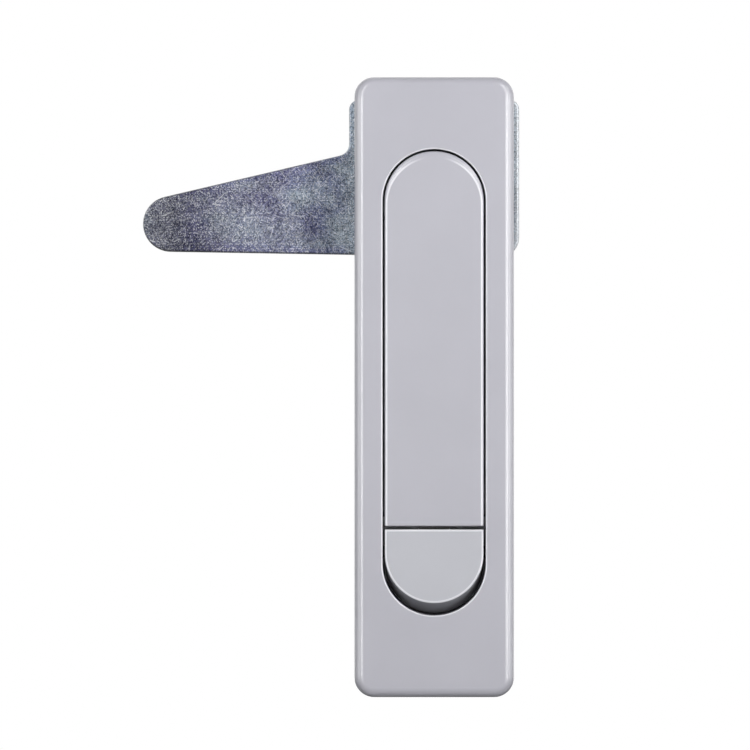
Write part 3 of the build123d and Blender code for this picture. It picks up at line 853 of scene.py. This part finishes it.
@dataclass(frozen=True)
class Moulded(Finish):
    """Moulded rubber or plastic with a fine matt skin.

    Attributes:
        roughness: How matt it is.
        grain: Waves a metre of the skin's relief.
        relief: Height of the relief.
        depth: How far light strays under the skin, 0 for none.
    """

    roughness: float
    grain: float = 2400.0
    relief: float = 6e-6
    depth: float = 0.0

    def dress(self, g: Graph) -> None:
        """Lays the bloom and the skin.

        Args:
            g: The material's nodes.
        """
        skin = g.noise(self.grain, 3, 0.65)
        g.wire(
            Base_Color=self.patchy(g, g.noise(140, 4, 0.6), (0.35, 0.7), 0.85, 1.3),
            Roughness=g.span(skin, 0.3, 0.7, self.roughness - 0.08, self.roughness + 0.08),
            Subsurface_Weight=0.25 if self.depth else 0.0,
            Subsurface_Scale=self.depth or 0.05,
        )
        g.bump(skin, self.relief)


ZINC = (0.340, 0.362, 0.440)
RECESS = {"top": 0.0, "bottom": -77.35 * MM, "radius": 10.98 * MM}
FINISHES: dict[Slot, Finish] = {
    Slot.PAINTED_CASTING: Paint(
        "painted_casting_finish",
        (0.515, 0.512, 0.566),
        (
            # Painted highlights along the recess's rim, the handle's edge and the face plate's long edges.
            EdgeLine(**RECESS, inner=-0.03 * MM, outer=0.30 * MM),
            EdgeLine(-0.9 * MM, -75.0 * MM, 10.0 * MM, 0.05 * MM, 0.34 * MM, cap=20 * MM, bare=7 * MM),
            SideLine(),
        ),
        # Painted shade inside the recess.
        recess_shade_outline=EdgeLine(**RECESS, inner=20 * MM, outer=0.2 * MM),
    ),
    Slot.PAINTED_BUTTON: Paint(
        "painted_button_finish",
        (0.550, 0.556, 0.600),
        # Painted highlight along the button's edge.
        (EdgeLine(0.0, -75.15 * MM, 10.5 * MM, 0.42 * MM, 0.04 * MM, cap=-70.0 * MM),),
        roughness=0.22,
    ),
    Slot.GASKET_RUBBER: Moulded("gasket_rubber_finish", (0.022, 0.022, 0.024), 0.72),
    Slot.SEAL_RUBBER: Moulded("seal_rubber_finish", (0.014, 0.014, 0.015), 0.5, relief=3e-6),
    Slot.ZINC_PLATE: ZincPlate("zinc_plate_finish", ZINC),
    Slot.PLATED_FASTENER: Metal("plated_fastener_finish", (0.56, 0.575, 0.61), 0.3),
    Slot.BARE_CASTING: Metal("bare_casting_finish", (0.42, 0.425, 0.44), 0.5, 0.18, 900, 8e-6),
    Slot.STEEL_PIN: Metal("steel_pin_finish", (0.20, 0.20, 0.21), 0.34, 0.10, 3000, 0.6e-6),
    Slot.SPRING_STEEL: Metal("spring_steel_finish", (0.115, 0.112, 0.112), 0.36, 0.18, 2600, 1e-6, True),
    Slot.NYLON: Moulded("nylon_finish", (0.66, 0.64, 0.56), 0.42, 1200, 3e-6, 0.0008),
}
CAM_FINISH = ZincPlate("cam_plate_finish", ZINC, cam=True)


@cache
def material(finish: Finish) -> bpy.types.Material:
    """A finish's material, made when it is first asked for.

    Args:
        finish: The finish.

    Returns:
        The material.
    """
    g = Graph(bpy.data.materials.new(finish.name))
    finish.dress(g)
    return g.owner


# Pieces


def link(name: str, data: bpy.types.ID) -> bpy.types.Object:
    """Puts an object into the scene, at the origin.

    Args:
        name: Its name.
        data: Its mesh, lamp or camera.

    Returns:
        The object.
    """
    made = bpy.data.objects.new(name, data)
    bpy.context.scene.collection.objects.link(made)
    return made


def show(
    surface: Shell | bpy.types.Mesh, name: str, slot: Slot, body: Body | None, node: str, crease: float = CREASE
) -> bpy.types.Object:
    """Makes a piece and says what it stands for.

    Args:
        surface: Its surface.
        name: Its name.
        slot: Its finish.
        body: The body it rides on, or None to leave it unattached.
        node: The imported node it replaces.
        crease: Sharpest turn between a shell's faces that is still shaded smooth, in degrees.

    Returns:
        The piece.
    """
    piece = link(name, surface.mesh(name, crease) if isinstance(surface, Shell) else surface)
    piece.data.materials.append(material(FINISHES[slot]))
    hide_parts(node)
    if body is not None:
        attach(piece, body.value)
    LOG.info("%s: %d faces, stands for %s", name, len(piece.data.polygons), node)
    return piece


def extent(node: str) -> tuple[np.ndarray, np.ndarray, np.ndarray]:
    """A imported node's lowest corner, highest corner and middle."""
    low, high = (np.array(corner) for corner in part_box(node))
    return low, high, (low + high) / 2


@dataclass
class PaintedCastings:
    """The body, handle, button and spindle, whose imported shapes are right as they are."""

    castings: tuple[tuple[str, Slot], ...] = (
        ("lock_body", Slot.PAINTED_CASTING),
        ("handle", Slot.PAINTED_CASTING),
        ("button", Slot.PAINTED_BUTTON),
        ("spindle", Slot.BARE_CASTING),
    )

    def build(self) -> None:
        """Dresses each casting."""
        for node, slot in self.castings:
            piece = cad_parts[node]
            for place in piece.material_slots:
                place.material = material(FINISHES[slot])
            LOG.info("%s: packed mesh kept", node)


@dataclass
class Gasket:
    """The foam-rubber gasket between the face plate and the door."""

    corner: float = 3.0 * MM
    opening_width: float = 26.4 * MM
    opening_length: float = 119.95 * MM
    opening_middle: float = -38.675 * MM

    def build(self) -> None:
        """A pressing with soft edges."""
        low, high, _ = extent("gasket")
        half = np.array([self.opening_width, self.opening_length]) / 2
        middle = np.array([0.0, self.opening_middle])
        outer = Outline.rectangle(low[[0, 2]], high[[0, 2]], self.corner, steps=12)
        opening = Outline.rectangle(middle - half, middle + half, self.corner, hole=True, steps=12)
        plate = Pressing(outer, opening, low[1], high[1], 0.2 * MM, 0.45 * MM)
        show(plate.shell(), "foam_gasket", Slot.GASKET_RUBBER, Body.HOUSING, "gasket")


@dataclass
class SplitWasher:
    """A spring washer: a square wire bent to a ring, cut through on a slant."""

    node: str
    bore: float
    body: Body
    split: float = 0.6 * MM
    slant: float = 0.35 * MM
    edge: float = 0.18 * MM

    def build(self) -> None:
        """Carries a square section with rounded corners round the ring, short of the split.

        The ends lean: the angle grows with the distance through the washer, by the slant over the radius.
        """
        low, high, centre = extent(self.node)
        outer = high[0] - centre[0]
        section = Outline.rectangle((self.bore, low[1]), (outer, high[1]), self.edge, steps=5).points
        radius, level = section.real, section.imag - centre[1]
        middle = (self.bore + outer) / 2
        gap = self.split / middle
        angle = turn(72, math.pi + gap / 2, TAU - gap)[:, None]
        grid = centre + about_y(angle + self.slant / middle * level / (high[1] - low[1]), radius, level)
        shell = Shell().sheet(grid).lid(grid[0]).lid(grid[-1])
        show(shell, f"{self.node}_spring", Slot.PLATED_FASTENER, self.body, self.node)


@dataclass
class CrossScrew:
    """A pan-head screw with a tapered cross recess.

    Attributes:
        node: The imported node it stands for.
        shank: Radius of the shank.
        pitch: Pitch of its thread.
        head: Height of the head.
        rounding: Round at the head's edge.
        long: Half-length of the recess at the top.
        short: Its half-width.
        deep: Depth of the recess.
        way: 1 if the head faces backwards, -1 if it faces forwards.
        dome: Rise of the head's top.
        foot: Chamfer at the head's foot.
        lead_in: Length of the shank's chamfer.
    """

    node: str
    shank: float
    pitch: float
    head: float
    rounding: float
    long: float
    short: float
    deep: float
    way: int = 1
    dome: float = 0.2 * MM
    foot: float = 0.12 * MM
    lead_in: float = 0.6 * MM

    def build(self) -> None:
        """Puts the recess, the head's round and the shank together on one set of directions.

        The recess is a square grid whose height drops to a cone inside the cross and stays on the dome
        outside it. Its rim runs out to circles, the head's quarter round, its flat underside and the
        threaded shank. The grid has lines just inside and just outside the cross's edge.
        """
        low, high, centre = extent(self.node)
        radius, long, short = high[0] - centre[0], self.long, self.short
        lines = np.array([0.66 * short, short, (short + long) / 2, 0.84 * long, long, 1.1 * long])
        lines = np.concatenate([-lines[::-1], [0.0], lines])
        x, z = np.meshgrid(lines, lines, indexing="ij")
        tip, flank = 0.85 * long, 0.67 * short
        wide, tall = (np.maximum(abs(a) / tip, abs(b) / flank) for a, b in ((x, z), (z, x)))
        away = np.hypot(x, z)
        top, bottom = self.head - self.dome * (away / radius) ** 2, self.head - self.deep * (1 - 0.3 * away / long)
        top = np.stack([x, np.where(np.minimum(wide, tall) <= 1.0, bottom, top), z], -1)
        rim = np.concatenate([top[:-1, 0], top[-1, :-1], top[:0:-1, -1], top[0, :0:-1]])
        angle = np.arctan2(rim[:, 2], rim[:, 0])
        flat = radius - self.rounding
        edge = self.head - self.dome * (flat / radius) ** 2
        arc = np.linspace(math.pi / 2, 0, 8)[1:]
        rounded = zip(flat + self.rounding * np.cos(arc), edge - self.rounding * (1 - np.sin(arc)))
        under = [(radius, self.foot), (radius - self.foot, 0.0), (1.02 * self.shank, 0.0)]
        circles = [(max(flat, 1.2 * long), edge), *rounded, *under]
        rows = np.stack([rim, *(about_y(angle, out, level) for out, level in circles)])
        end = self.head - (high[1] - low[1])
        shell = screw(Shell().sheet(top, ring_columns=False), rows, angle, self.shank, self.pitch, end, self.lead_in)
        centre[1] = high[1] - self.head if self.way > 0 else low[1] + self.head
        for points in shell.patches:
            points[:] = points * [1, self.way, 1] + centre
        show(shell, f"{self.node}_threaded", Slot.PLATED_FASTENER, Body.HOUSING, self.node, 42)


@dataclass
class ClampSet:
    """Two notched bars that pull the lock against the door, each with its washer and screw."""

    notch: float = 13.35 * MM
    corner: float = 1.5 * MM
    tip: float = 0.45 * MM
    hole: float = 2.65 * MM
    screw_from_end: float = 5.0 * MM
    recess_foot: float = -77.35 * MM

    def build(self) -> None:
        """Builds both clamps."""
        for name, way in (("upper", 1), ("lower", -1)):
            self._bar(name, way)
            SplitWasher(f"{name}_clamp_washer", self.hole, Body.HOUSING).build()
            sizes = (2.5 * MM, 0.8 * MM, 3.2 * MM, 1.4 * MM, 2.2 * MM, 0.55 * MM, 1.6 * MM)
            CrossScrew(f"{name}_clamp_screw", *sizes).build()

    def _bar(self, name: str, way: int) -> None:
        """A bar with a round notch towards the tray.

        Args:
            name: Which clamp it is.
            way: 1 if its notch faces down, or -1 for the same bar turned over.
        """
        low, high, _ = extent(f"{name}_clamp")
        side = high[0]
        outer, inner = (high[2], low[2]) if way > 0 else (low[2], high[2])
        middle = 0.0 if way > 0 else self.recess_foot
        rise = abs(inner - middle)
        reach, start = math.sqrt(self.notch**2 - rise**2), math.asin(rise / self.notch)
        arc = self.notch * np.exp(1j * np.linspace(math.pi - start, start, 42)[1:-1])
        corners = [
            (-side, inner, self.corner),
            (-reach, inner, self.tip),
            *((place.real, middle + way * place.imag, 0.0) for place in arc),
            (reach, inner, self.tip),
            (side, inner, self.corner),
            (side, outer, self.corner),
            (-side, outer, self.corner),
        ][::way]
        hole = Outline.ring(self.hole, 1j * (outer - way * self.screw_from_end), hole=True, count=48)
        plate = Pressing(Outline.cornered(corners), hole, low[1], high[1])
        show(plate.shell(), f"{name}_clamp_bar", Slot.ZINC_PLATE, Body.HOUSING, f"{name}_clamp")


@dataclass
class HexScrew:
    """A hexagon-head screw with a washer face, a chamfered top and a shallow dish in it.

    Attributes:
        node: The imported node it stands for.
        across: The head's width across its flats.
        head: Its height.
        shank: Radius of the shank.
        pitch: Pitch of its thread.
        face: Height of the washer face.
        rounding: Upright and level size of the round under the head.
        dish: Depth of the dish.
        circles: Radii of the dish's floor, its edge and the chamfer's start, as shares of the width.
        slope: Fall of the chamfer.
        lead_in: Length of the shank's chamfer.
    """

    node: str
    across: float
    head: float
    shank: float
    pitch: float
    face: float = 0.25 * MM
    rounding: Range = (0.15 * MM, 0.1 * MM)
    dish: float = 0.25 * MM
    circles: tuple[float, float, float] = (0.25, 0.31, 0.475)
    slope: float = math.tan(math.radians(30))
    lead_in: float = 0.8 * MM

    def build(self) -> None:
        """Works the head out on rays from its middle.

        The hexagon's edge lies at across / 2 / cos(angle from the nearest flat's middle). The top drops
        outside the chamfer's circle by tan 30 times the distance, and dips inside the dish.
        """
        low, high, _ = extent(self.node)
        angle = turn(96)
        hexagon = self.across / 2 / np.cos(angle % (TAU / 6) - TAU / 12)
        floor, edge, chamfer = (share * self.across for share in self.circles)
        top, base = high[1], high[1] - self.head
        under, beyond = base + self.face, hexagon - chamfer
        circles = [
            (0.0, top - self.dish),
            (floor, top - self.dish),
            (edge, top),
            (chamfer, top),
            (chamfer + beyond / 2, top - beyond / 2 * self.slope),
            (hexagon, top - beyond * self.slope),
            (hexagon, under + self.rounding[0]),
            (hexagon - self.rounding[1], under),
            (chamfer, under),
            (chamfer, base),
            (1.03 * self.shank, base),
        ]
        rows = np.stack([about_y(angle, out, level) for out, level in circles])
        shell = screw(Shell(), rows, angle, self.shank, self.pitch, low[1], self.lead_in)
        show(shell, f"{self.node}_threaded", Slot.PLATED_FASTENER, Body.SPINDLE, self.node, 28)


@dataclass
class CamPlate:
    """The cam: a broad head over the spindle's square and an arm to the left with a round tip."""

    corner: float = 2.0 * MM
    foot_corner: float = 4.3 * MM
    root_above: float = 11.2 * MM
    root_round: float = 2.6 * MM
    tip: complex = (-57.35 - 4.15j) * MM
    tip_radius: float = 6.05 * MM
    square: float = 8.05 * MM
    square_corner: float = 0.35 * MM

    def build(self) -> None:
        """Draws the outline anticlockwise: the head, the root, the arm's upper edge, the tip and back."""
        low, high, _ = extent("cam")
        side, top, bottom = high[0], high[2], low[2]
        upper = self._touch(complex(-side, self.root_above), 1)
        lower = self._touch(complex(side, bottom), -1)
        arc = self.tip + self.tip_radius * np.exp(1j * np.linspace(upper, lower + TAU, 30))
        corners = [
            (side, bottom, self.foot_corner),
            (side, top, self.corner),
            (-side, top, self.corner),
            (-side, self.root_above, self.root_round),
            *((place.real, place.imag, 0.0) for place in arc),
        ]
        hole = Outline.square_hole(self.square, self.square_corner)
        rims = (0.15 * MM, 0.4 * MM, 0.8 * MM, 1.4 * MM)
        plate = Pressing(Outline.cornered(corners), hole, low[1], high[1], 0.4 * MM, 0.2 * MM, rims)
        piece = show(plate.shell(), "cam_plate", Slot.ZINC_PLATE, Body.SPINDLE, "cam")
        piece.data.materials[0] = material(CAM_FINISH)

    def _touch(self, start: complex, way: int) -> float:
        """The bearing, from the tip's centre, of where a line from a point touches the tip's round.

        It is the bearing of the point turned by the angle whose cosine is radius over distance.

        Args:
            start: The point.
            way: 1 if the line touches above, -1 if below.

        Returns:
            The bearing.
        """
        away = start - self.tip
        return math.atan2(away.imag, away.real) + way * math.acos(self.tip_radius / abs(away))


@dataclass
class StopWasher:
    """A washer on the spindle's square, cut away over the turn that the stop pin allows."""

    notch_radius: float = 7.2 * MM
    notch_start: float = math.radians(125.84)
    notch_sweep: float = math.radians(108.32)
    corner: float = 0.35 * MM
    square: float = 8.05 * MM
    square_corner: float = 0.3 * MM

    def build(self) -> None:
        """Draws the full circle from the notch's end round to its start, then the notch back inwards."""
        low, high, _ = extent("stop_washer")
        start, stop = self.notch_start, self.notch_start + self.notch_sweep
        lines = []
        for radius, first, last, count in ((high[0], stop, start + TAU, 66), (self.notch_radius, start, stop, 28)):
            line = about_y(np.linspace(first, last, count), radius)[:, [0, 2, 1]]
            line[[0, -1], 2] = self.corner
            lines.append(line)
        outline = Outline.cornered(np.vstack(lines), steps=6)
        hole = Outline.square_hole(self.square, self.square_corner)
        plate = Pressing(outline, hole, low[1], high[1], 0.2 * MM, 0.12 * MM, (0.1 * MM,))
        show(plate.shell(), "stop_washer_plate", Slot.ZINC_PLATE, Body.SPINDLE, "stop_washer")


@dataclass
class Pin:
    """A ground pin with chamfered ends and a low crown.

    Attributes:
        node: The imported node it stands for.
        axis: X or Y.
        body: The body it rides on.
        chamfer: Width of the chamfer.
        crown: How far the middle of an end stands out.
    """

    node: str
    axis: str
    body: Body
    chamfer: float = 0.25 * MM
    crown: float = 0.06 * MM

    def build(self) -> None:
        """Turns the pin's profile."""
        low, high, middle = extent(self.node)
        half, _, radius = high - middle
        if self.axis == "Y":
            half = high[1] - middle[1]
        flat = half - self.crown
        end = [(half, 0.0), (half - 0.4 * self.crown, 0.5 * radius), (flat, radius - self.chamfer)]
        end += [(flat - 1.6 * self.chamfer, radius)]
        profile = np.array([*end, *((-along, out) for along, out in end[::-1])])
        shell = Shell().sheet(turned(profile, middle, self.axis, 40), turned(profile, (0, 0, 0), "X", 40))
        show(shell, f"{self.node}_ground", Slot.STEEL_PIN, self.body, self.node, 25)


@dataclass
class SpindleStack:
    """What turns with the spindle, and the pins and the ring that carry and seal it."""

    seal_wire: float = 0.75 * MM
    seal_flash: float = 0.05 * MM
    thrust_bore: float = 6.15 * MM

    def build(self) -> None:
        """Builds the stack from front to back."""
        Pin("hinge_pin", "X", Body.SPINDLE).build()
        self._seal()
        Pin("stop_pin", "Y", Body.HOUSING, 0.2 * MM).build()
        Pin("button_pin", "X", Body.HOUSING).build()
        self._thrust_washer()
        StopWasher().build()
        CamPlate().build()
        SplitWasher("cam_washer", 3.15 * MM, Body.SPINDLE).build()
        HexScrew("cam_screw", 10 * MM, 4 * MM, 3 * MM, 1.0 * MM).build()

    def _seal(self) -> None:
        """A rubber ring. Its section's radius has a small flash where the mould's halves met."""
        _, high, middle = extent("spindle_seal")
        around = turn(26)
        out = self.seal_wire - self.seal_flash * (1 - np.exp(-((np.cos(around) ** 2 - 1) ** 2) / 0.002))
        profile = np.stack([out * np.sin(around), high[0] - self.seal_wire + out * np.cos(around)], 1)
        shell = Shell().sheet(turned(profile, middle, "Y", 72), ring_rows=True)
        show(shell, "spindle_seal_ring", Slot.SEAL_RUBBER, Body.SPINDLE, "spindle_seal")

    def _thrust_washer(self) -> None:
        """A thin moulded washer."""
        low, high, _ = extent("thrust_washer")
        outer, bore = Outline.ring(high[0]), Outline.ring(self.thrust_bore, hole=True)
        plate = Pressing(outer, bore, low[1], high[1], 0.12 * MM, 0.12 * MM, (0.1 * MM,))
        show(plate.shell(), "thrust_washer_ring", Slot.NYLON, Body.SPINDLE, "thrust_washer")


@dataclass
class Springs:
    """The pop-up spring on the handle's hinge and the button's compression spring."""

    popup_radius: float = 1.8 * MM
    popup_wire: float = 0.35 * MM
    popup_turns: float = 4.5
    popup_half: float = 1.755 * MM
    popup_front_leg: float = 6.0 * MM
    popup_back_leg: float = 4.1 * MM
    popup_steps: int = 32
    button_wire: float = 0.25 * MM
    button_turns: float = 9.0
    button_steps: int = 30

    def build(self) -> None:
        """Builds both springs."""
        self._popup()
        self._button()

    def _popup(self) -> None:
        """A coil about the hinge pin whose two ends run down as straight legs.

        At angle a the wire is at -radius * cos a along Y and radius * sin a along Z from the pin, and it
        moves from right to left as a grows.
        """
        _, _, pin = extent("hinge_pin")
        last = self.popup_turns * TAU
        angle = np.linspace(0, last, int(self.popup_turns * self.popup_steps))
        coil = about_y(angle, self.popup_radius, self.popup_half * (1 - 2 * angle / last))[:, [1, 0, 2]]
        coil = coil * [1, -1, 1] + [0, pin[1], pin[2]]
        drop = np.linspace(1, 0, 14)[:-1, None] * np.array([0, 0, -1.0])
        path = np.vstack([coil[0] + drop * self.popup_front_leg, coil, coil[-1] + drop[::-1] * self.popup_back_leg])
        side = np.broadcast_to([1.0, 0.0, 0.0], path.shape)
        piece = show(wire(path, side, self.popup_wire), "popup_spring_coil", Slot.SPRING_STEEL, None, "handle_spring")
        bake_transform(piece)

    def _button(self) -> None:
        """A helix about Y with one closed turn at each end.

        The height follows the angle, slowly over the first and last turn and evenly between.
        """
        low, high, middle = extent("button_spring")
        radius = high[0] - middle[0] - self.button_wire
        turns = np.linspace(0, self.button_turns, int(self.button_turns * self.button_steps))
        closed = 2.1 * self.button_wire
        run = high[1] - low[1] - 2 * self.button_wire
        height = np.interp(turns, [0, 1, self.button_turns - 1, self.button_turns], [0, closed, run - closed, run])
        out = about_y(turns * TAU)
        path = np.array([middle[0], high[1] - self.button_wire, middle[2]]) + radius * out
        path[:, 1] -= height
        surface = wire(path, out, self.button_wire, 12)
        piece = show(surface, "button_spring_coil", Slot.SPRING_STEEL, None, "button_spring")
        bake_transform(piece)


@dataclass
class CatchLeaf:
    """The spring-steel catch: a blank with rounded corners, bent twice, and its screw.

    The blank's run starts at the foot's end. Angles are how far the leaf has turned forwards there.
    """

    thickness: float = 0.6 * MM
    foot_width: float = 9.4 * MM
    hook_width: float = 6.4 * MM
    foot: float = 7.4 * MM
    foot_bend: float = 0.6 * MM
    stem: float = 8.5 * MM
    hook_bend: float = 1.2 * MM
    hook: float = 2.9 * MM
    hole: float = 1.4 * MM
    hole_run: float = 2.2 * MM
    edge: float = 0.1 * MM

    def build(self) -> None:
        """Builds the leaf and the screw that holds its foot."""
        bends = np.array([self.foot_bend, self.hook_bend]) * math.pi / 2
        stops = np.cumsum([0, self.foot, bends[0], self.stem, bends[1], self.hook])
        low, high, _ = extent("catch_spring")
        mesh = self._blank(stops)
        self._bend(mesh, stops, high[1] - self.thickness / 2, low[2])
        smooth(mesh)
        piece = show(mesh, "catch_leaf", Slot.SPRING_STEEL, None, "catch_spring")
        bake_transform(piece)
        sizes = (1.25 * MM, 0.45 * MM, 1.4 * MM, 0.6 * MM, 1.05 * MM, 0.26 * MM, 0.7 * MM)
        CrossScrew("catch_screw", *sizes, way=-1, dome=0.1 * MM).build()

    def _blank(self, stops: np.ndarray) -> bpy.types.Mesh:
        """The flat blank, x across and z along the run, cut through at the bends so that it can follow them.

        Args:
            stops: Runs at which the bends start and end.

        Returns:
            The blank's mesh.
        """
        wide, slim, shoulder, end = self.foot_width / 2, self.hook_width / 2, stops[3], stops[-1]
        right = [(wide, 0.0, 1.0), (wide, shoulder, 0.7), (slim, shoulder, 0.5), (slim, end, 0.8)]
        corners = [(x, z, radius * MM) for x, z, radius in right]
        corners += [(-x, z, radius) for x, z, radius in corners[::-1]]
        hole = Outline.ring(self.hole, 1j * self.hole_run, hole=True, count=40)
        half, edge = self.thickness / 2, self.edge
        mesh = Pressing(Outline.cornered(corners), hole, -half, half, edge, edge, (edge,)).shell().mesh("catch_leaf")
        sheet = bmesh.new()
        sheet.from_mesh(mesh)
        for run in [*np.linspace(stops[1], stops[2], 7), *np.linspace(stops[3], stops[4], 9)]:
            whole = sheet.verts[:] + sheet.edges[:] + sheet.faces[:]
            bmesh.ops.bisect_plane(sheet, geom=whole, dist=1e-7, plane_co=(0, 0, run), plane_no=(0, 0, 1))
        sheet.to_mesh(mesh)
        sheet.free()
        return mesh

    def _bend(self, mesh: bpy.types.Mesh, stops: np.ndarray, back: float, foot: float) -> None:
        """Lays the blank along its bent line.

        The heading turns evenly over each bend, the line is the running sum of the heading, and a point
        stands off the line by its distance through the leaf.

        Args:
            mesh: The blank, which is bent in place.
            stops: Runs at which the bends start and end.
            back: y of the line's start.
            foot: z of the line's start.
        """
        flat = np.empty(len(mesh.vertices) * 3)
        mesh.vertices.foreach_get("co", flat)
        across, off, along = flat.reshape(-1, 3).T
        run = np.linspace(0, stops[-1], 2200)
        heading = np.interp(run, stops, np.array([0, 0, 1, 1, 0, 0]) * math.pi / 2)
        between, step = (heading[1:] + heading[:-1]) / 2, np.diff(run)
        y = back - np.concatenate([[0], np.cumsum(np.sin(between) * step)])
        z = foot + np.concatenate([[0], np.cumsum(np.cos(between) * step)])
        angle = np.interp(along, run, heading)
        y, z = np.interp(along, run, y) + off * np.cos(angle), np.interp(along, run, z) + off * np.sin(angle)
        mesh.vertices.foreach_set("co", np.stack([across, y, z], 1).ravel())
        mesh.attributes["lay"].data.foreach_set("vector", np.stack([along, across, off], 1).ravel())
        mesh.update()


# Studio


@dataclass
class Camera:
    """The camera, square to the door."""

    lens: float = 248.0
    distance: float = 1.1
    shift_x: float = -0.0789
    shift_y: float = 0.0162

    def build(self) -> None:
        """Stands it in front of the middle of the face plate."""
        low, _, middle = extent("lock_body")
        data = bpy.data.cameras.new("front_camera")
        data.sensor_width = 36.0
        data.lens, data.shift_x, data.shift_y = self.lens, self.shift_x, self.shift_y
        data.clip_start, data.clip_end = 0.05, 20.0
        camera = link("front_camera", data)
        camera.location = (middle[0], low[1] - self.distance, middle[2])
        camera.rotation_euler = (math.pi / 2, 0, 0)
        bpy.context.scene.camera = camera


@dataclass
class Lamp:
    """A rectangular lamp that faces the lock.

    Attributes:
        name: Its name.
        bearing: Degrees to the right of straight in front.
        height: How far above the lock's middle it stands.
        reach: How far away it stands.
        wide: Its width.
        tall: Its height.
        watts: Its power.
        mirrored: It shows in glossy surfaces.
    """

    name: str
    bearing: float
    height: float
    reach: float
    wide: float
    tall: float
    watts: float
    mirrored: bool = True

    def build(self, target: Vector) -> None:
        """Stands it off the target and turns it to face it.

        Args:
            target: The lock's middle.
        """
        data = bpy.data.lights.new(self.name, "AREA")
        data.shape, data.size, data.size_y, data.energy = "RECTANGLE", self.wide, self.tall, self.watts
        lamp = link(self.name, data)
        angle = math.radians(self.bearing)
        lamp.location = target + Vector((self.reach * math.sin(angle), -self.reach * math.cos(angle), self.height))
        lamp.rotation_euler = (target - lamp.location).to_track_quat("-Z", "Y").to_euler()
        lamp.visible_camera, lamp.visible_glossy = False, self.mirrored


@dataclass
class Studio:
    """A white background, soft lamps at both sides and above, and a pale floor."""

    floor_drop: float = 0.055
    floor_radius: float = 0.5
    ground_light: float = 0.10
    sky_light: float = 0.12
    lamps: tuple[Lamp, ...] = (
        Lamp("right_strip", 23.0, 0.08, 1.0, 0.07, 1.4, 2.9),
        Lamp("right_softbox", 36.0, 0.12, 1.0, 0.13, 1.4, 4.9),
        Lamp("right_side", 64.0, 0.12, 1.0, 0.36, 1.2, 2.8),
        Lamp("left_strip", -24.5, 0.08, 1.0, 0.07, 1.4, 5.0),
        Lamp("left_side", -66.0, 0.12, 1.0, 0.36, 1.2, 2.0),
        Lamp("front_fill", 0.0, 0.0, 1.2, 0.25, 0.12, 1.1, mirrored=False),
        Lamp("back_fill", 180.0, 0.3, 1.2, 1.2, 0.8, 9.0, mirrored=False),
    )

    def build(self) -> None:
        """Makes the world, the lamps and the floor."""
        self._world()
        low, high = CAD_BOX
        target = Vector((0.0, 0.0, (low.z + high.z) / 2))
        for lamp in self.lamps:
            lamp.build(target)
        self._floor(low.z - self.floor_drop)
        bpy.context.scene.view_settings.view_transform = "Standard"

    def _world(self) -> None:
        """White to the camera, and behind the lock to glossy rays. Elsewhere a grey that falls off downwards."""
        world = bpy.context.scene.world = bpy.data.worlds.new("studio")
        g = Graph(world, "Background", "Generated")
        _, y, z = g.axes()
        ray = g.add("ShaderNodeLightPath").outputs
        mirrored = g.most(ray["Is Glossy Ray"], ray["Is Transmission Ray"])
        behind = g.times(g.span(y, 0.25, 0.5), mirrored)
        light = g.span(z, -0.55, 0.45, self.ground_light, self.sky_light)
        g.wire(Color=g.most(behind, ray["Is Camera Ray"], light))

    def _floor(self, level: float) -> None:
        """A disc under the lock: pale to the eye, and darker to the light it would throw back up.

        Args:
            level: Its height.
        """
        mesh = bpy.data.meshes.new("floor")
        rim = about_y(turn(96), self.floor_radius, level)[:, [0, 2, 1]]
        mesh.from_pydata(rim.tolist(), [], [list(range(96))])
        g = Graph(bpy.data.materials.new("floor_finish"))
        ray = g.add("ShaderNodeLightPath").outputs["Is Camera Ray"]
        g.wire(Base_Color=g.mix(ray, rgb((0.12, 0.12, 0.12)), rgb((0.86, 0.86, 0.87))), Roughness=0.8)
        g.wire(Emission_Color=rgb((1.0, 1.0, 1.0)), Emission_Strength=g.times(ray, 0.45))
        mesh.materials.append(g.owner)
        link("floor", mesh)


def main() -> None:
    """Builds the lock's sub-assemblies in order."""
    logging.basicConfig(level=logging.INFO, format="%(name)s: %(message)s")
    for part in (Camera, Studio, PaintedCastings, Gasket, ClampSet, SpindleStack, Springs, CatchLeaf):
        part().build()


if __name__ == "__main__":
    main()
